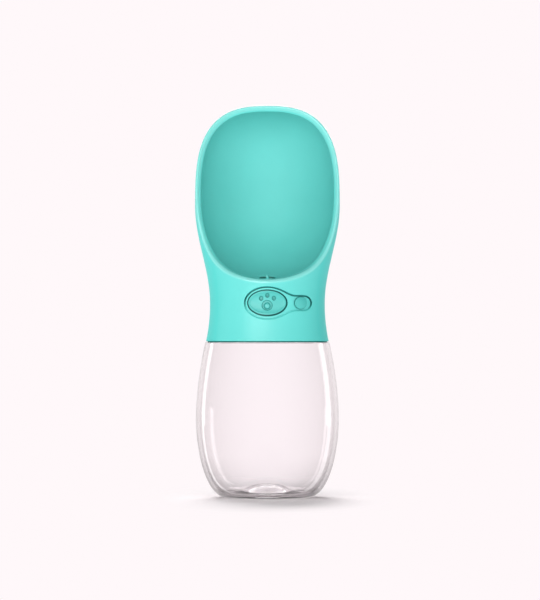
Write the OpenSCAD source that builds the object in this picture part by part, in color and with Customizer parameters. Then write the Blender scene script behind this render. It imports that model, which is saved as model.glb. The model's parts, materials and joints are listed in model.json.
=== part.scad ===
// Dog travel water bottle: a clear bottle under a screw-on head that is cut open
// into a drinking scoop. Pressing the oval button drives a cam that opens a valve
// between the bottle and the scoop, and a small slider beside it locks the button.
// Millimetres, +Z up, the front faces -Y, the origin is the centre of the base.

/* [Overall] */
// Height from the base to the tip of the scoop
total_h = 225.6; // [215:0.2:240]
// Height of the seam between the bottle and the head
seam_z = 89; // [84:1:98]
// Open gap at the seam
seam_gap = 0.6; // [0.3:0.1:1]
// Wall of the bottle and of the head's neck
wall = 2.2; // [1.8:0.1:2.6]
// Largest radius of the bottle
body_r = 41.1; // [39:0.1:44]

/* [Bottle] */
// Height of the bottle's largest radius
belly_z = 46; // [40:1:52]
// How far the bottle stands out past the head at the seam
shoulder_step = 0.5; // [0:0.1:1]
// Outer radius of the flat ring that the bottle stands on
base_r = 24; // [20:0.5:28]
// Radius of the domed hollow under the base
punt_r = 10; // [7:0.5:13]
// Radius of the wider swell that it makes in the floor of the bottle
swell_r = 17; // [14:0.5:20]
// Height of the domed hollow under the base
punt_h = 5.6; // [3:0.2:8]
// Room between the neck and the waist of the head, for the collar and screws
neck_room = 11; // [10.6:0.2:13]
// Height of the neck above the seam
neck_h = 9; // [8:0.5:10]

/* [Head] */
// How much the head flares from its waist to the seam
skirt_flare = 2.3; // [1:0.1:3]
// Radius of the waist that the hand holds
waist_r = 33; // [32.4:0.2:34]
// Height of the waist above the seam
waist_h = 22; // [19:0.5:25]
// Height of the scoop's largest radius above the seam
scoop_h = 79; // [70:1:86]
// How square the top of the scoop is, 2 being an ellipse
crown_power = 2.9; // [2.2:0.1:3.4]
// Height of the front lip above the waist
lip_h = 12.8; // [12:0.2:16]
// Lean of the straight part of the rim, in degrees
rim_lean = 14; // [8:1:20]
// How far the straight part of the rim passes in front of the axis, at the lip
rim_forward = 19; // [15:0.5:23]
// Height over which the rim sweeps back from the lip
sweep_h = 35; // [28:1:42]
// Height over which the floor of the scoop curves up into its walls
floor_h = 48; // [42:1:54]
// How far the scoop stands out past the bottle's largest radius
scoop_step = 0.5; // [0:0.1:1]
// Wall of the scoop, which its rim shows
scoop_wall = 3.4; // [2.4:0.1:3.8]

/* [Controls] */
// Half width of the button opening
button_w = 11.4; // [10.8:0.1:12]
// Half height of the button opening
button_h = 7.5; // [7:0.1:8]
// Travel of the button
press_travel = 3.6; // [2.8:0.1:4]
// Travel of the valve for a full press
valve_travel = 2.2; // [1.6:0.1:2.4]
// Depth of the keyhole-shaped recess round the controls
recess = 1; // [0.6:0.1:1.2]
// Width of the recess round the button
recess_rim = 2; // [1.5:0.1:2.4]
// Position of the lock knob round the neck, in degrees from the front
lock_at = 35.5; // [34:0.5:38]
// Travel of the lock knob round the neck, in degrees
lock_turn = 4; // [3:0.5:5]
// Radius of the lock knob
knob_r = 3.5; // [3:0.1:4]

/* [Valve] */
// Inner radius of the valve chamber
chamber_r = 12; // [11:0.2:13]
// Thickness of the deck that carries the valve seat
deck_t = 2.2; // [1.8:0.1:2.6]
// Radius of the valve seat opening
seat_r = 5.2; // [4.6:0.1:5.8]
// Radius of the plunger rod
plunger_r = 4; // [3.6:0.1:4.2]
// Thickness of the silicone gasket on the bottle's mouth
gasket_t = 1.8; // [1.4:0.1:2.2]
// Radius of the outlet in the floor of the scoop
outlet_r = 4.7; // [4.2:0.1:5.2]
// Distance of the outlet in front of the axis
outlet_y = 7.5; // [7:0.1:9]

/* [Strap eye] */
// Radius of the hole for the carrying strap
eye_r = 2.2; // [1.6:0.1:2.4]
// Width of the eye
eye_w = 7; // [5:0.5:9]

/* [Hidden] */
$fn = 96;

teal = "turquoise";
clear = [0.9, 0.93, 0.95, 0.4];
white = "white";
silicone = "gainsboro";
steel = "silver";

thread_gap = 1.6;   // room for the thread between the neck and the collar
fit = 0.05;         // radial clearance of a running fit
slip = 0.25;        // clearance round a part that slides in an opening
touch = 0.02;       // gap left between faces that only meet
far = 60;           // reaches past the whole neck and scoop
ring_steps = 8;     // sides of a coil's wire

// Radii that follow from the waist and the body.
belly_r = body_r;
scoop_r = body_r + scoop_step;
skirt_r = waist_r + skirt_flare;
shoulder_r = skirt_r + shoulder_step;
neck_r = waist_r - neck_room;

// Levels of the stack inside the head, from the bottle's mouth upwards.
head_z = seam_z + seam_gap;
mouth_z = seam_z + neck_h;
deck_z = mouth_z + gasket_t;
chamber_z = deck_z + deck_t;
waist_z = seam_z + waist_h;
button_z = waist_z + 0.4;
scoop_z = seam_z + scoop_h;
lip_z = waist_z + lip_h;

// ---- Outlines -------------------------------------------------------------

// A point list moved inwards by d, at right angles to the line through each
// point's neighbours. The list runs upwards with the material on its left.
function inset(p, d) = [for (i = [0:len(p) - 1])
    let (a = p[max(i - 1, 0)], b = p[min(i + 1, len(p) - 1)], l = norm(b - a))
    [p[i][0] - d * (b[1] - a[1]) / l, p[i][1] + d * (b[0] - a[0]) / l]];

// Bottle: a quarter ellipse from the base to the belly, then a shoulder that
// leaves the belly upright and closes in by a power of the height.
shoulder_power = 1.75;
bottle_side = concat(
    [for (a = [90:-6:0]) [base_r + (belly_r - base_r) * cos(a), belly_z * (1 - sin(a))]],
    [for (i = [1:10]) let (t = i / 10)
        [belly_r - (belly_r - shoulder_r) * pow(t, shoulder_power),
         belly_z + (seam_z - belly_z) * t]]);
// The domed hollow under the base is one half of a cosine wave, and the floor
// over it a wider one.
function dome_line(radius, z) = [for (i = [0:8]) let (r = radius * i / 8)
    [r, z + punt_h * (1 + cos(180 * r / radius)) / 2]];

// Head: a flared skirt, a wave from the waist out to the scoop, and a crown
// that is a quarter of a superellipse.
function skirt_at(z) = waist_r + (skirt_r - waist_r) * pow((waist_z - z) / (waist_z - head_z), 2);
function swell_at(z) = waist_r + (scoop_r - waist_r) * (1 - cos(180 * (z - waist_z) / (scoop_z - waist_z))) / 2;
function head_at(z) = z < waist_z ? skirt_at(z) : swell_at(z);
crown_h = total_h - scoop_z;
head_side = concat(
    [for (i = [0:5]) let (z = head_z + (waist_z - head_z) * i / 6) [skirt_at(z), z]],
    [for (i = [0:13]) let (z = waist_z + (scoop_z - waist_z) * i / 14) [swell_at(z), z]],
    [for (a = [0:6:84]) [scoop_r * pow(cos(a), 2 / crown_power),
        scoop_z + crown_h * pow(sin(a), 2 / crown_power)]],
    [[scoop_r * 0.12, total_h - 0.02]]);

// Distance of the rim from the axis, seen from the side, at height z: a leaning
// line, pulled forward to meet the front of the neck at the lip.
sweep_power = 3.5;
function rim_line(z) = (z - lip_z) * tan(rim_lean) - rim_forward;
function rim_at(z) = rim_line(z)
    - (head_at(lip_z) - rim_forward) * pow(max(0, 1 - (z - lip_z) / sweep_h), sweep_power);
rim_side = [for (i = [0:22]) let (z = lip_z + (total_h + 1 - lip_z) * pow(i / 22, 1.5)) [rim_at(z), z]];

// ---- Shared shapes --------------------------------------------------------

// The head as a solid of revolution, moved inwards by d.
module head_body(d) rotate_extrude() polygon(concat([[0, head_z]],
    d > 0 ? [[head_at(head_z) - d, head_z]] : [],
    inset(head_side, d), [[0, total_h - d]]));

// The floor of the scoop is the underside of a bullet lying along Y: straight
// from the lip to its lowest point, then half an ellipse that climbs the back.
floor_low_y = 7 - waist_r;      // where the floor is lowest
floor_z = lip_z + 0.2;          // its height there
floor_l = (scoop_r - scoop_wall - floor_low_y) * 1.01;
function floor_at(y) = floor_z + floor_h * (1 - sqrt(1 - pow((y - floor_low_y) / floor_l, 2)));
floor_side = [for (a = [90:-4.5:0]) [floor_h * sin(a), floor_l * cos(a)]];
module floor_bullet(grow) {
    translate([0, floor_low_y, floor_z + floor_h]) rotate([-90, 0, 0]) rotate_extrude()
        polygon(concat([[0, -far], [floor_h + grow, -far]],
            [for (p = floor_side) p + grow * p / norm(p)]));
    translate([-far, -far, floor_z + floor_h]) cube(2 * far);
}

// An upright oval, drawn out along Y from y0 to y1 at the height of the button.
module oval_bar(w, h, y0, y1) translate([0, y1, button_z]) rotate([90, 0, 0])
    linear_extrude(y1 - y0) scale([w, h]) circle(1);

// A round bar along Y from y0 to y1, at the height of the button.
module bar(r, y0, y1) translate([0, y0, button_z]) rotate([-90, 0, 0]) cylinder(r = r, h = y1 - y0);

// A flat ring standing on z.
module ring(inner, outer, z, h) translate([0, 0, z]) difference() {
    cylinder(r = outer, h = h);
    translate([0, 0, -1]) cylinder(r = inner, h = h + 2);
}

// A ring of round wire lying across Z.
module o_ring(r, wire_r) rotate_extrude() translate([r, 0]) circle(wire_r);

// A stretch of a ring round Z, `turn` degrees wide and centred on the front.
module arc_block(r0, r1, z0, z1, turn) rotate([0, 0, -90 - turn / 2])
    rotate_extrude(angle = turn) translate([r0, z0]) square([r1 - r0, z1 - z0]);

// A coil spring standing on z = 0, inside its full height h.
module coil(r, wire_r, h, turns) {
    steps = turns * 16;
    points = [for (i = [0:steps], k = [0:ring_steps - 1])
        let (a = 360 * turns * i / steps, b = 360 * k / ring_steps,
             q = r + wire_r * cos(b), z = wire_r + (h - 2 * wire_r) * i / steps + wire_r * sin(b))
        [q * cos(a), q * sin(a), z]];
    n = ring_steps;
    faces = concat(
        [[for (k = [0:n - 1]) k]],
        [for (i = [0:steps - 1], k = [0:n - 1]) let (m = (k + 1) % n)
            [i * n + k, (i + 1) * n + k, (i + 1) * n + m]],
        [for (i = [0:steps - 1], k = [0:n - 1]) let (m = (k + 1) % n)
            [i * n + k, (i + 1) * n + m, i * n + m]],
        [[for (k = [n - 1:-1:0]) steps * n + k]]);
    polyhedron(points, faces);
}

// ---- Bottle ---------------------------------------------------------------

module bottle() color(clear) difference() {
    rotate_extrude() polygon(concat(dome_line(punt_r, 0), bottle_side,
        [[neck_r, seam_z], [neck_r, mouth_z], [0, mouth_z]]));
    rotate_extrude() polygon(concat(
        dome_line(swell_r, wall),
        [for (p = inset(bottle_side, wall)) if (p[1] > wall && p[1] < seam_z - wall - 1) p],
        [[shoulder_r - wall, seam_z - wall], [neck_r - wall, seam_z - wall],
         [neck_r - wall, mouth_z + 1], [0, mouth_z + 1]]));
}

module neck_gasket() color(silicone)
    ring(neck_r - wall, neck_r + thread_gap - 0.4, mouth_z, gasket_t);

// ---- Head -----------------------------------------------------------------

screw_at = [-130, -62, 62, 130];    // cap screws round the neck, from the front
boss_r = 2.8;
screw_ring_r = waist_r - wall - boss_r + 0.2;
screw_r = 1.2;
screw_l = 10;

// Everything that stands up inside the skirt and belongs to the shell.
seal_t = 1;                          // thickness of the outlet seal
cover_t = 1.8;
cover_seal_t = 0.8;
outlet_boss_l = 1.5;                 // stands this far down from the floor, on the outlet's axis
outlet_boss_w = 3.3;
outlet_boss_z = floor_at(-outlet_y) - wall - outlet_boss_l;
cover_z = outlet_boss_z - seal_t - cover_t;
housing_top = cover_z - cover_seal_t;
housing_h = housing_top - chamber_z;
module shell_bosses() {
    for (a = screw_at) rotate([0, 0, a]) translate([0, -screw_ring_r, chamber_z])
        cylinder(r = boss_r, h = far);
    translate([0, -outlet_y, outlet_boss_z]) cylinder(r = outlet_r + outlet_boss_w, h = far);
}

// Inside of the neck, moved inwards by d. It narrows as far as the waist and runs
// straight from there, because the core of the mould leaves downwards.
module neck_bore(d) rotate_extrude() polygon(concat(
    [[0, head_z - 1], [skirt_r - wall - d, head_z - 1]],
    inset([for (q = head_side) if (q[1] < waist_z) q], wall + d),
    [[waist_r - wall - d, waist_z], [waist_r - wall - d, scoop_z], [0, scoop_z]]));

module skirt_hollow() difference() {
    neck_bore(0);
    floor_bullet(wall);
    shell_bosses();
}

// The outline of the recess: an oval round the button and a tail round the knob.
tail_gap = 1.1;
tail_end = 1.6;                      // the tail runs this far past the knob's centre
tail_fillet = 4;
tail_r = knob_r + tail_gap;
tail_x = head_at(button_z) * sin(lock_at) + tail_end;
module keyhole() offset(r = -tail_fillet) offset(delta = tail_fillet) {
    scale([button_w + recess_rim, button_h + recess_rim]) circle(1, $fn = 48);
    translate([0, -tail_r]) square([tail_x, 2 * tail_r]);
    translate([tail_x, 0]) circle(tail_r, $fn = 32);
}

stalk_r = 1.2;
stalk_turn = asin((stalk_r + slip) / (waist_r - wall));
module lock_slot() rotate([0, 0, lock_at - lock_turn / 2])
    arc_block(waist_r - 2 * wall, scoop_r, button_z - stalk_r - slip, button_z + stalk_r + slip,
        lock_turn + 2 * stalk_turn);

eye_gap = 0.8;                       // from the neck to the edge of the hole
eye_y = waist_r + eye_r + eye_gap;
eye_wall = 2.4;
// The eye is welded to the back of the neck, so its root takes the neck's curve.
module strap_eye() color(teal) difference() {
    translate([-eye_w / 2, 0, waist_z]) rotate([90, 0, 90]) linear_extrude(eye_w) {
        translate([eye_y, 0]) circle(eye_r + eye_wall);
        translate([waist_r - wall, -eye_r - eye_wall])
            square([eye_y - waist_r + wall, 2 * (eye_r + eye_wall)]);
    }
    head_body(0);
    translate([0, eye_y, waist_z]) rotate([0, 90, 0]) cylinder(r = eye_r, h = 2 * far, center = true);
}

module scoop_shell() color(teal) difference() {
    head_body(0);
    // front of the scoop, cut away behind the rim
    translate([-far, 0, 0]) rotate([90, 0, 90]) linear_extrude(2 * far)
        polygon(concat([[-far, lip_z]], rim_side, [[-far, total_h + 1]]));
    // inside of the scoop
    intersection() {
        head_body(scoop_wall);
        floor_bullet(0);
    }
    skirt_hollow();
    // outlet through the floor
    translate([0, -outlet_y, outlet_boss_z - 1]) cylinder(r = outlet_r, h = floor_h / 2);
    // controls
    oval_bar(button_w, button_h, -far, -waist_r / 2);
    lock_slot();
    difference() {
        translate([0, 0, button_z]) rotate([90, 0, 0]) linear_extrude(far) keyhole();
        head_body(recess);
    }
    // pilot holes of the cap screws
    for (a = screw_at) rotate([0, 0, a]) translate([0, -screw_ring_r, chamber_z - 1])
        cylinder(r = screw_r + fit, h = screw_l - deck_t + 1);
}

// ---- Inner cap and valve housing ------------------------------------------

collar_r = neck_r + thread_gap;
collar_wall = 2.2;
collar_z = seam_z + 1.4;             // lower edge of the collar
deck_r = screw_ring_r + boss_r - 0.4;
hub_r = 3.4;
web_t = 1.2;
stem_r = 1.8;
seal_groove_r = chamber_r + 3;
groove = 1;                          // width and depth of an O-ring groove

module inner_cap() color(white) difference() {
    union() {
        translate([0, 0, deck_z]) cylinder(r = deck_r, h = deck_t);
        translate([0, 0, collar_z]) cylinder(r = collar_r + collar_wall, h = deck_z - collar_z);
    }
    translate([0, 0, seam_z]) cylinder(r = collar_r, h = deck_z - seam_z);
    // valve seat, crossed by three webs that carry the guide hub
    difference() {
        translate([0, 0, deck_z - 1]) cylinder(r = seat_r, h = deck_t + 2);
        translate([0, 0, deck_z]) cylinder(r = hub_r, h = deck_t);
        for (a = [30, 150, 270]) rotate([0, 0, a]) translate([0, -web_t / 2, deck_z])
            cube([seat_r + 1, web_t, deck_t]);
    }
    translate([0, 0, deck_z - 1]) cylinder(r = stem_r + fit, h = deck_t + 2);
    ring(seal_groove_r - groove / 2, seal_groove_r + groove / 2, chamber_z - groove, groove + 1);
    for (a = screw_at) rotate([0, 0, a]) translate([0, -screw_ring_r, deck_z - 1])
        cylinder(r = screw_r + slip, h = deck_t + 2);
}

screw_head_r = 2.1;
screw_head_h = 1.6;
cross_l = 2.6;                       // cross recess: length, width and depth
cross_w = 0.6;
cross_d = 0.9;
module cap_screws() color(steel) for (a = screw_at) rotate([0, 0, a])
    translate([0, -screw_ring_r, deck_z]) difference() {
        union() {
            translate([0, 0, -screw_head_h]) cylinder(r = screw_head_r, h = screw_head_h);
            translate([0, 0, -screw_head_h / 2]) cylinder(r = screw_r, h = screw_l);
        }
        // cross recess
        for (t = [0, 90]) rotate([0, 0, t]) translate([-cross_l / 2, -cross_w / 2, -2 * screw_head_h])
            cube([cross_l, cross_w, screw_head_h + cross_d]);
    }

housing_wall = 2;
foot_t = 1.8;
sleeve_wall = 2.4;
spring_room = 7.2;                   // from the inside of the neck to the sleeve
sleeve_front = -(waist_r - wall - spring_room);
sleeve_back = -chamber_r + 1;
guide_r = 1.8;
guide_wall = 2;
guide_end = 1.6;                     // thickness of the closed end
guide_back = chamber_r + 1.2;
guide_front = chamber_r - 5;
module valve_housing() color(white) difference() {
    union() {
        translate([0, 0, chamber_z]) cylinder(r = chamber_r + housing_wall, h = housing_h);
        translate([0, 0, chamber_z]) cylinder(r = seal_groove_r + 2 * groove, h = foot_t);
        bar(plunger_r + sleeve_wall, sleeve_front, sleeve_back);
        bar(guide_r + guide_wall, guide_front, guide_back + guide_end);
    }
    difference() {
        translate([0, 0, chamber_z - 1]) cylinder(r = chamber_r, h = housing_h + 2);
        bar(plunger_r + sleeve_wall, -far, sleeve_back);
        bar(guide_r + guide_wall, guide_front, far);
    }
    bar(plunger_r + 2 * fit, -far, 0);
    bar(guide_r + fit, 0, guide_back);
}

module housing_seal() color(silicone) translate([0, 0, chamber_z - groove / 2])
    o_ring(seal_groove_r, groove / 2 - touch);

module cover_seal() color(silicone)
    ring(chamber_r, chamber_r + housing_wall, housing_top, cover_seal_t);

spigot_t = 0.8;                      // rib under the cover that centres it in the chamber
spigot_l = 1.2;
strainer_r = outlet_r - 0.4;
strainer_t = 1;
module chamber_cover() color(white) difference() {
    union() {
        translate([0, 0, cover_z]) cylinder(r = chamber_r + housing_wall, h = cover_t);
        ring(chamber_r - 0.2 - spigot_t, chamber_r - 0.2, cover_z - spigot_l, spigot_l);
    }
    translate([0, -outlet_y, cover_z - 1]) cylinder(r = strainer_r - strainer_t + 0.1, h = cover_t + 2);
}

module outlet_seal() color(silicone) translate([0, -outlet_y, 0])
    ring(strainer_r + 0.1, outlet_r + outlet_boss_w - 0.6, cover_z + cover_t, seal_t - touch);

// A ring with a crossbar that keeps grit out, and a raised nub in its middle.
strainer_bar_h = 1.4;
strainer_sink = 1.6;                 // how deep its bars lie in the outlet
strainer_h = floor_at(-outlet_y - outlet_r) - strainer_sink - cover_z - cover_t;
nub_r = 1.3;
nub_h = 4.4;
module outlet_strainer() color(teal) translate([0, -outlet_y, cover_z + cover_t]) {
    ring(strainer_r - strainer_t, strainer_r, 0, strainer_h);
    for (a = [0, 90]) rotate([0, 0, a])
        translate([strainer_t / 2 - strainer_r, -strainer_t / 2, strainer_h - strainer_bar_h])
            cube([2 * strainer_r - strainer_t, strainer_t, strainer_bar_h]);
    translate([0, 0, strainer_h - 0.2]) cylinder(r1 = nub_r, r2 = nub_r / 2, h = nub_h);
}

// ---- Button ---------------------------------------------------------------

face_gap = 0.3;                      // the button's face lies this far under the neck's surface
face_t = 2.4;
face_rim = 1.4;                      // width of the edge that is left round the hollow
cap_front = -(head_at(button_z) - face_gap - face_t);   // inner side of the cap's face
flange_w = 0.7;                      // reach of the flange beyond the opening, sideways
flange_h = 1.2;                      // and up and down
flange_t = 1.4;
cap_side = slip + 1.6;               // gap and side wall of the cap together
cap_back = sleeve_front - press_travel - 0.4;   // back edge of the cap's side wall
dish = 0.7;                          // depth of the hollow in the face
spring_seat_r = 5.6;
socket_l = 3.4;
module button_cap() color(teal) {
    difference() {
        intersection() {
            oval_bar(button_w - slip, button_h - slip, -far, cap_back);
            head_body(face_gap);
        }
        // inside, which follows the neck's curve round a flat seat for the spring
        intersection() {
            oval_bar(button_w - cap_side, button_h - cap_side, -far, 0);
            head_body(face_gap + face_t);
        }
        bar(spring_seat_r, cap_front, 0);
        // hollow in the face
        difference() {
            oval_bar(button_w - face_rim, button_h - face_rim, -far, 0);
            head_body(face_gap + dish);
        }
    }
    // flange that stops the cap behind the shell's wall
    difference() {
        intersection() {
            oval_bar(button_w + flange_w, button_h + flange_h, -far, 0);
            neck_bore(slip);
        }
        neck_bore(slip + flange_t);
        oval_bar(button_w - cap_side, button_h - cap_side, -far, 0);
    }
    // socket for the plunger
    difference() {
        bar(plunger_r - 0.4, cap_front - 0.5, cap_front + socket_l);
        bar(spigot_r, cap_front, far);
    }
}

spigot_r = 2.2;
ring_wire_r = 0.7;
groove_r = plunger_r + fit - 2 * ring_wire_r;
ring_pitch = 3.4;
o_ring_y = [sleeve_front + ring_pitch, sleeve_front + 2 * ring_pitch];
rod_back = sleeve_back + 2.6;        // end of the rod, where it meets the cam
rod_spigot_l = 3;                    // spigot that carries the cam
module plunger() color(white) difference() {
    union() {
        bar(plunger_r, cap_front + socket_l, rod_back);
        bar(spigot_r - touch, cap_front + touch, rod_back + rod_spigot_l);
    }
    for (y = o_ring_y) difference() {
        bar(plunger_r + 1, y - ring_wire_r - 0.1, y + ring_wire_r + 0.1);
        bar(groove_r - touch, y - 2, y + 2);
    }
}

module plunger_o_ring(y) color(silicone) translate([0, y, button_z]) rotate([-90, 0, 0])
    o_ring(plunger_r + fit - ring_wire_r, ring_wire_r - touch);
module front_o_ring() plunger_o_ring(o_ring_y[0]);
module rear_o_ring() plunger_o_ring(o_ring_y[1]);

// Cam: the slope on its underside pushes the valve stem down as it moves back.
cam_slope = valve_travel / press_travel;
cam_angle = atan(cam_slope);
stem_l = 5.4;                        // from the deck to the centre of the stem's ball end
stem_ball_z = chamber_z + stem_l;
cam_gap = 0.15;
cam_zero = stem_ball_z + (stem_r + cam_gap) / cos(cam_angle);   // height of the slope over the axis
cam_w = 6;
cam_tip = (button_z - guide_r - cam_zero) / cam_slope;          // where the slope meets the guide pin
cam_land = 2.9;                      // flat behind the slope, past the full travel
cam_heel = -press_travel - cam_land;
pin_l = 2.4;                         // reach of the guide pin into its bore, at rest
module cam_slide() color(white) difference() {
    union() {
        translate([-cam_w / 2, 0, 0]) rotate([90, 0, 90]) linear_extrude(cam_w) polygon([
            [rod_back, button_z + plunger_r], [rod_back, cam_zero + cam_slope * cam_heel],
            [cam_heel, cam_zero + cam_slope * cam_heel], [cam_tip, button_z - guide_r],
            [cam_tip, button_z + guide_r], [cam_heel, button_z + plunger_r]]);
        bar(guide_r, cam_tip - 1, guide_front + pin_l);
    }
    bar(spigot_r, rod_back - 1, rod_back + rod_spigot_l + touch);
}

spring_wire_r = 0.35;
spring_gap = 0.6;                    // from the rod to the inside of the spring
button_spring_r = plunger_r + spring_gap + spring_wire_r;
module button_spring() color(steel) translate([0, cap_front + touch, button_z]) rotate([-90, 0, 0])
    coil(button_spring_r, spring_wire_r, sleeve_front - cap_front - 2 * touch, 5);

// ---- Valve ----------------------------------------------------------------

seal_disc_t = 1.6;
seal_lap = 1.6;                      // how far the seal reaches past the seat opening
plate_t = 1.2;
plate_r = seat_r + 1;
clip_drop = 1.2;                     // from the centre of the ball end down to the clip
clip_t = 0.8;
clip_groove = 0.5;
clip_gap = 1.8;
clip_z = stem_ball_z - clip_drop;
seal_z = deck_z - seal_disc_t;
module valve_poppet() color(white) difference() {
    union() {
        translate([0, 0, seal_z - plate_t]) cylinder(r = plate_r, h = plate_t);
        translate([0, 0, seal_z - plate_t / 2]) cylinder(r = stem_r, h = stem_ball_z - seal_z + plate_t / 2);
        translate([0, 0, stem_ball_z]) sphere(stem_r);
    }
    ring(stem_r - clip_groove, 2 * stem_r, clip_z, clip_t);
}

module valve_seal() color(silicone)
    ring(stem_r + touch, seat_r + seal_lap, seal_z, seal_disc_t);

// A snap ring with one gap, in the groove of the stem.
module spring_clip() color(steel) difference() {
    ring(stem_r - clip_groove + touch, hub_r, clip_z + touch, clip_t - 2 * touch);
    translate([0, -clip_gap / 2, clip_z - 1]) cube([2 * hub_r, clip_gap, clip_t + 2]);
}

valve_spring_r = 2.6;
valve_wire_r = 0.25;
module valve_spring() color(steel) translate([0, 0, chamber_z + touch])
    coil(valve_spring_r, valve_wire_r, clip_z - chamber_z - 2 * touch, 4);

// ---- Lock -----------------------------------------------------------------

shoe_t = 1.8;
shoe_h = 4;
shoe_turn = 9;
shoe_back = waist_r - wall - slip - shoe_t;
knob_gap = 0.25;                     // from the floor of the recess to the knob
knob_rise = 0.8;                     // how far the knob stands out of the neck
knob_step = 0.4;                     // rounded-off edge of the knob
knob_stretch = 1.18;                 // widens the knob, which the curve of the neck foreshortens
arm_h = 2;
arm_turn = 3;
tongue_t = 2;
tongue_gap = 0.4;                    // behind the cap's side wall when that is fully pressed
tongue_turn = 13;
tongue_r = norm([button_w - cap_side, cap_back + press_travel + tongue_gap]);
module lock_slider() color(teal) rotate([0, 0, lock_at]) {
    knob_z = head_at(button_z);      // radius of the neck behind the knob
    // shoe that runs behind the shell's wall
    intersection() {
        arc_block(shoe_back, scoop_r, button_z - shoe_h, button_z + shoe_h, shoe_turn);
        neck_bore(slip);
    }
    // stalk and knob
    bar_front(stalk_r, shoe_back + shoe_t / 2, knob_z - recess + 2 * knob_gap, 1);
    bar_front(knob_r, knob_z - recess + knob_gap, knob_z + knob_rise - knob_step, knob_stretch);
    bar_front(knob_r - knob_step, knob_z, knob_z + knob_rise, knob_stretch);
    // arm and tongue behind the button's side wall
    arc_block(tongue_r - tongue_t, shoe_back + shoe_t / 2, button_z - arm_h, button_z + arm_h, arm_turn);
    rotate([0, 0, (arm_turn - tongue_turn) / 2])
        arc_block(tongue_r - tongue_t, tongue_r, button_z - arm_h, button_z + arm_h, tongue_turn);
}

// A radial bar at the front from radius r0 to r1, `wide` times as wide as it is high.
module bar_front(r, r0, r1, wide) translate([0, -r0, button_z]) rotate([90, 0, 0])
    linear_extrude(r1 - r0) scale([wide, 1]) circle(r);

bottle();
neck_gasket();
scoop_shell();
strap_eye();
inner_cap();
cap_screws();
valve_housing();
housing_seal();
chamber_cover();
cover_seal();
outlet_seal();
outlet_strainer();
button_cap();
plunger();
front_o_ring();
rear_o_ring();
cam_slide();
button_spring();
valve_poppet();
valve_seal();
spring_clip();
valve_spring();
lock_slider();
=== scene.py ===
"""Looks of a dog travel water bottle: a clear bottle under a teal head with a drinking scoop.

Sizes are in millimetres in the classes below and become metres when a mesh is made.
+Z is up, the front faces -Y, and the origin is the centre of the base.
"""

from __future__ import annotations

import json
import logging
from collections.abc import Callable
from dataclasses import dataclass, field
from enum import Enum, auto
from math import cos, pi, radians, sin, tan

import bmesh
import bpy
import numpy as np
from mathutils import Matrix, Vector


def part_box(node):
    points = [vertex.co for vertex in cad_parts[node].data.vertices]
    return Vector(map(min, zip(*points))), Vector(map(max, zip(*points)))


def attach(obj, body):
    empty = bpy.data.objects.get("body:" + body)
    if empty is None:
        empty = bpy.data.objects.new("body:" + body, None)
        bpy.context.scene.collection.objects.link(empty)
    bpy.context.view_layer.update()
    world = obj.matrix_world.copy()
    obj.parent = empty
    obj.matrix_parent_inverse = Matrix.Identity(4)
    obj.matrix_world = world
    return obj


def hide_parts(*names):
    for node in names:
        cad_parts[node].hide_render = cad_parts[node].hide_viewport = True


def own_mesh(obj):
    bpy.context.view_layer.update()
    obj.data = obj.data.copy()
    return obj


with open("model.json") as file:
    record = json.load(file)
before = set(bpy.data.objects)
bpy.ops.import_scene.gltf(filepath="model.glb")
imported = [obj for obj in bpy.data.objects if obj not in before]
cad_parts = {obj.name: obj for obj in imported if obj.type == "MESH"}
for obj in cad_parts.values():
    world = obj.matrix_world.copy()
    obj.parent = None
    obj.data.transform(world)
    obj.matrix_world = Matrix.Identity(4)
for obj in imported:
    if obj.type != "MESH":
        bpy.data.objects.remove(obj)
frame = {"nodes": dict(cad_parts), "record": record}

log = logging.getLogger("dog_bottle")
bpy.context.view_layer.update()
MM = 0.001
MERGE = 1e-7
TURN = 2.0 * pi
Array = np.ndarray


# ---------------------------------------------------------------- mesh tools


class Ends(Enum):
    """What happens at the first and last ring of a piece."""

    OPEN = auto()
    JOINED = auto()
    CAPPED = auto()


def make_mesh(name: str, points: Array, faces: list[list[int]]) -> bpy.types.Object:
    """Makes a mesh object at the origin from points in millimetres.

    Args:
        name: name of the piece.
        points: N by 3 positions.
        faces: point indices of each face.

    Returns:
        The new object, linked to the scene.
    """
    mesh = bpy.data.meshes.new(name)
    mesh.from_pydata((points * MM).tolist(), [], faces)
    mesh.validate()
    mesh.update()
    piece = bpy.data.objects.new(name, mesh)
    bpy.context.scene.collection.objects.link(piece)
    return piece


def ring_grid(name: str, rings: Array, ends: Ends) -> bpy.types.Object:
    """Makes a piece from rings of points, each joined to the next by quads.

    Args:
        name: name of the piece.
        rings: rows by columns by 3 positions; each row is a closed ring.
        ends: whether the first and last rings are open, joined or capped.

    Returns:
        The new object.
    """
    rows, cols, _ = rings.shape
    i, j = np.meshgrid(np.arange(rows if ends is Ends.JOINED else rows - 1), np.arange(cols), indexing="ij")
    i2, j2 = (i + 1) % rows, (j + 1) % cols
    quads = np.stack([i * cols + j, i * cols + j2, i2 * cols + j2, i2 * cols + j], axis=-1)
    faces = quads.reshape(-1, 4).tolist()
    if ends is Ends.CAPPED:
        faces += [list(range(cols))[::-1], list(range((rows - 1) * cols, rows * cols))]
    return make_mesh(name, rings.reshape(-1, 3), faces)


def tidy(piece: bpy.types.Object) -> bpy.types.Object:
    """Merges doubled points, closes poles and turns all faces outwards.

    Args:
        piece: a piece with a mesh.

    Returns:
        The same piece.
    """
    work = bmesh.new()
    work.from_mesh(piece.data)
    bmesh.ops.remove_doubles(work, verts=work.verts, dist=MERGE)
    bmesh.ops.dissolve_degenerate(work, edges=work.edges, dist=MERGE)
    bmesh.ops.recalc_face_normals(work, faces=work.faces)
    work.to_mesh(piece.data)
    work.free()
    return piece


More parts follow.
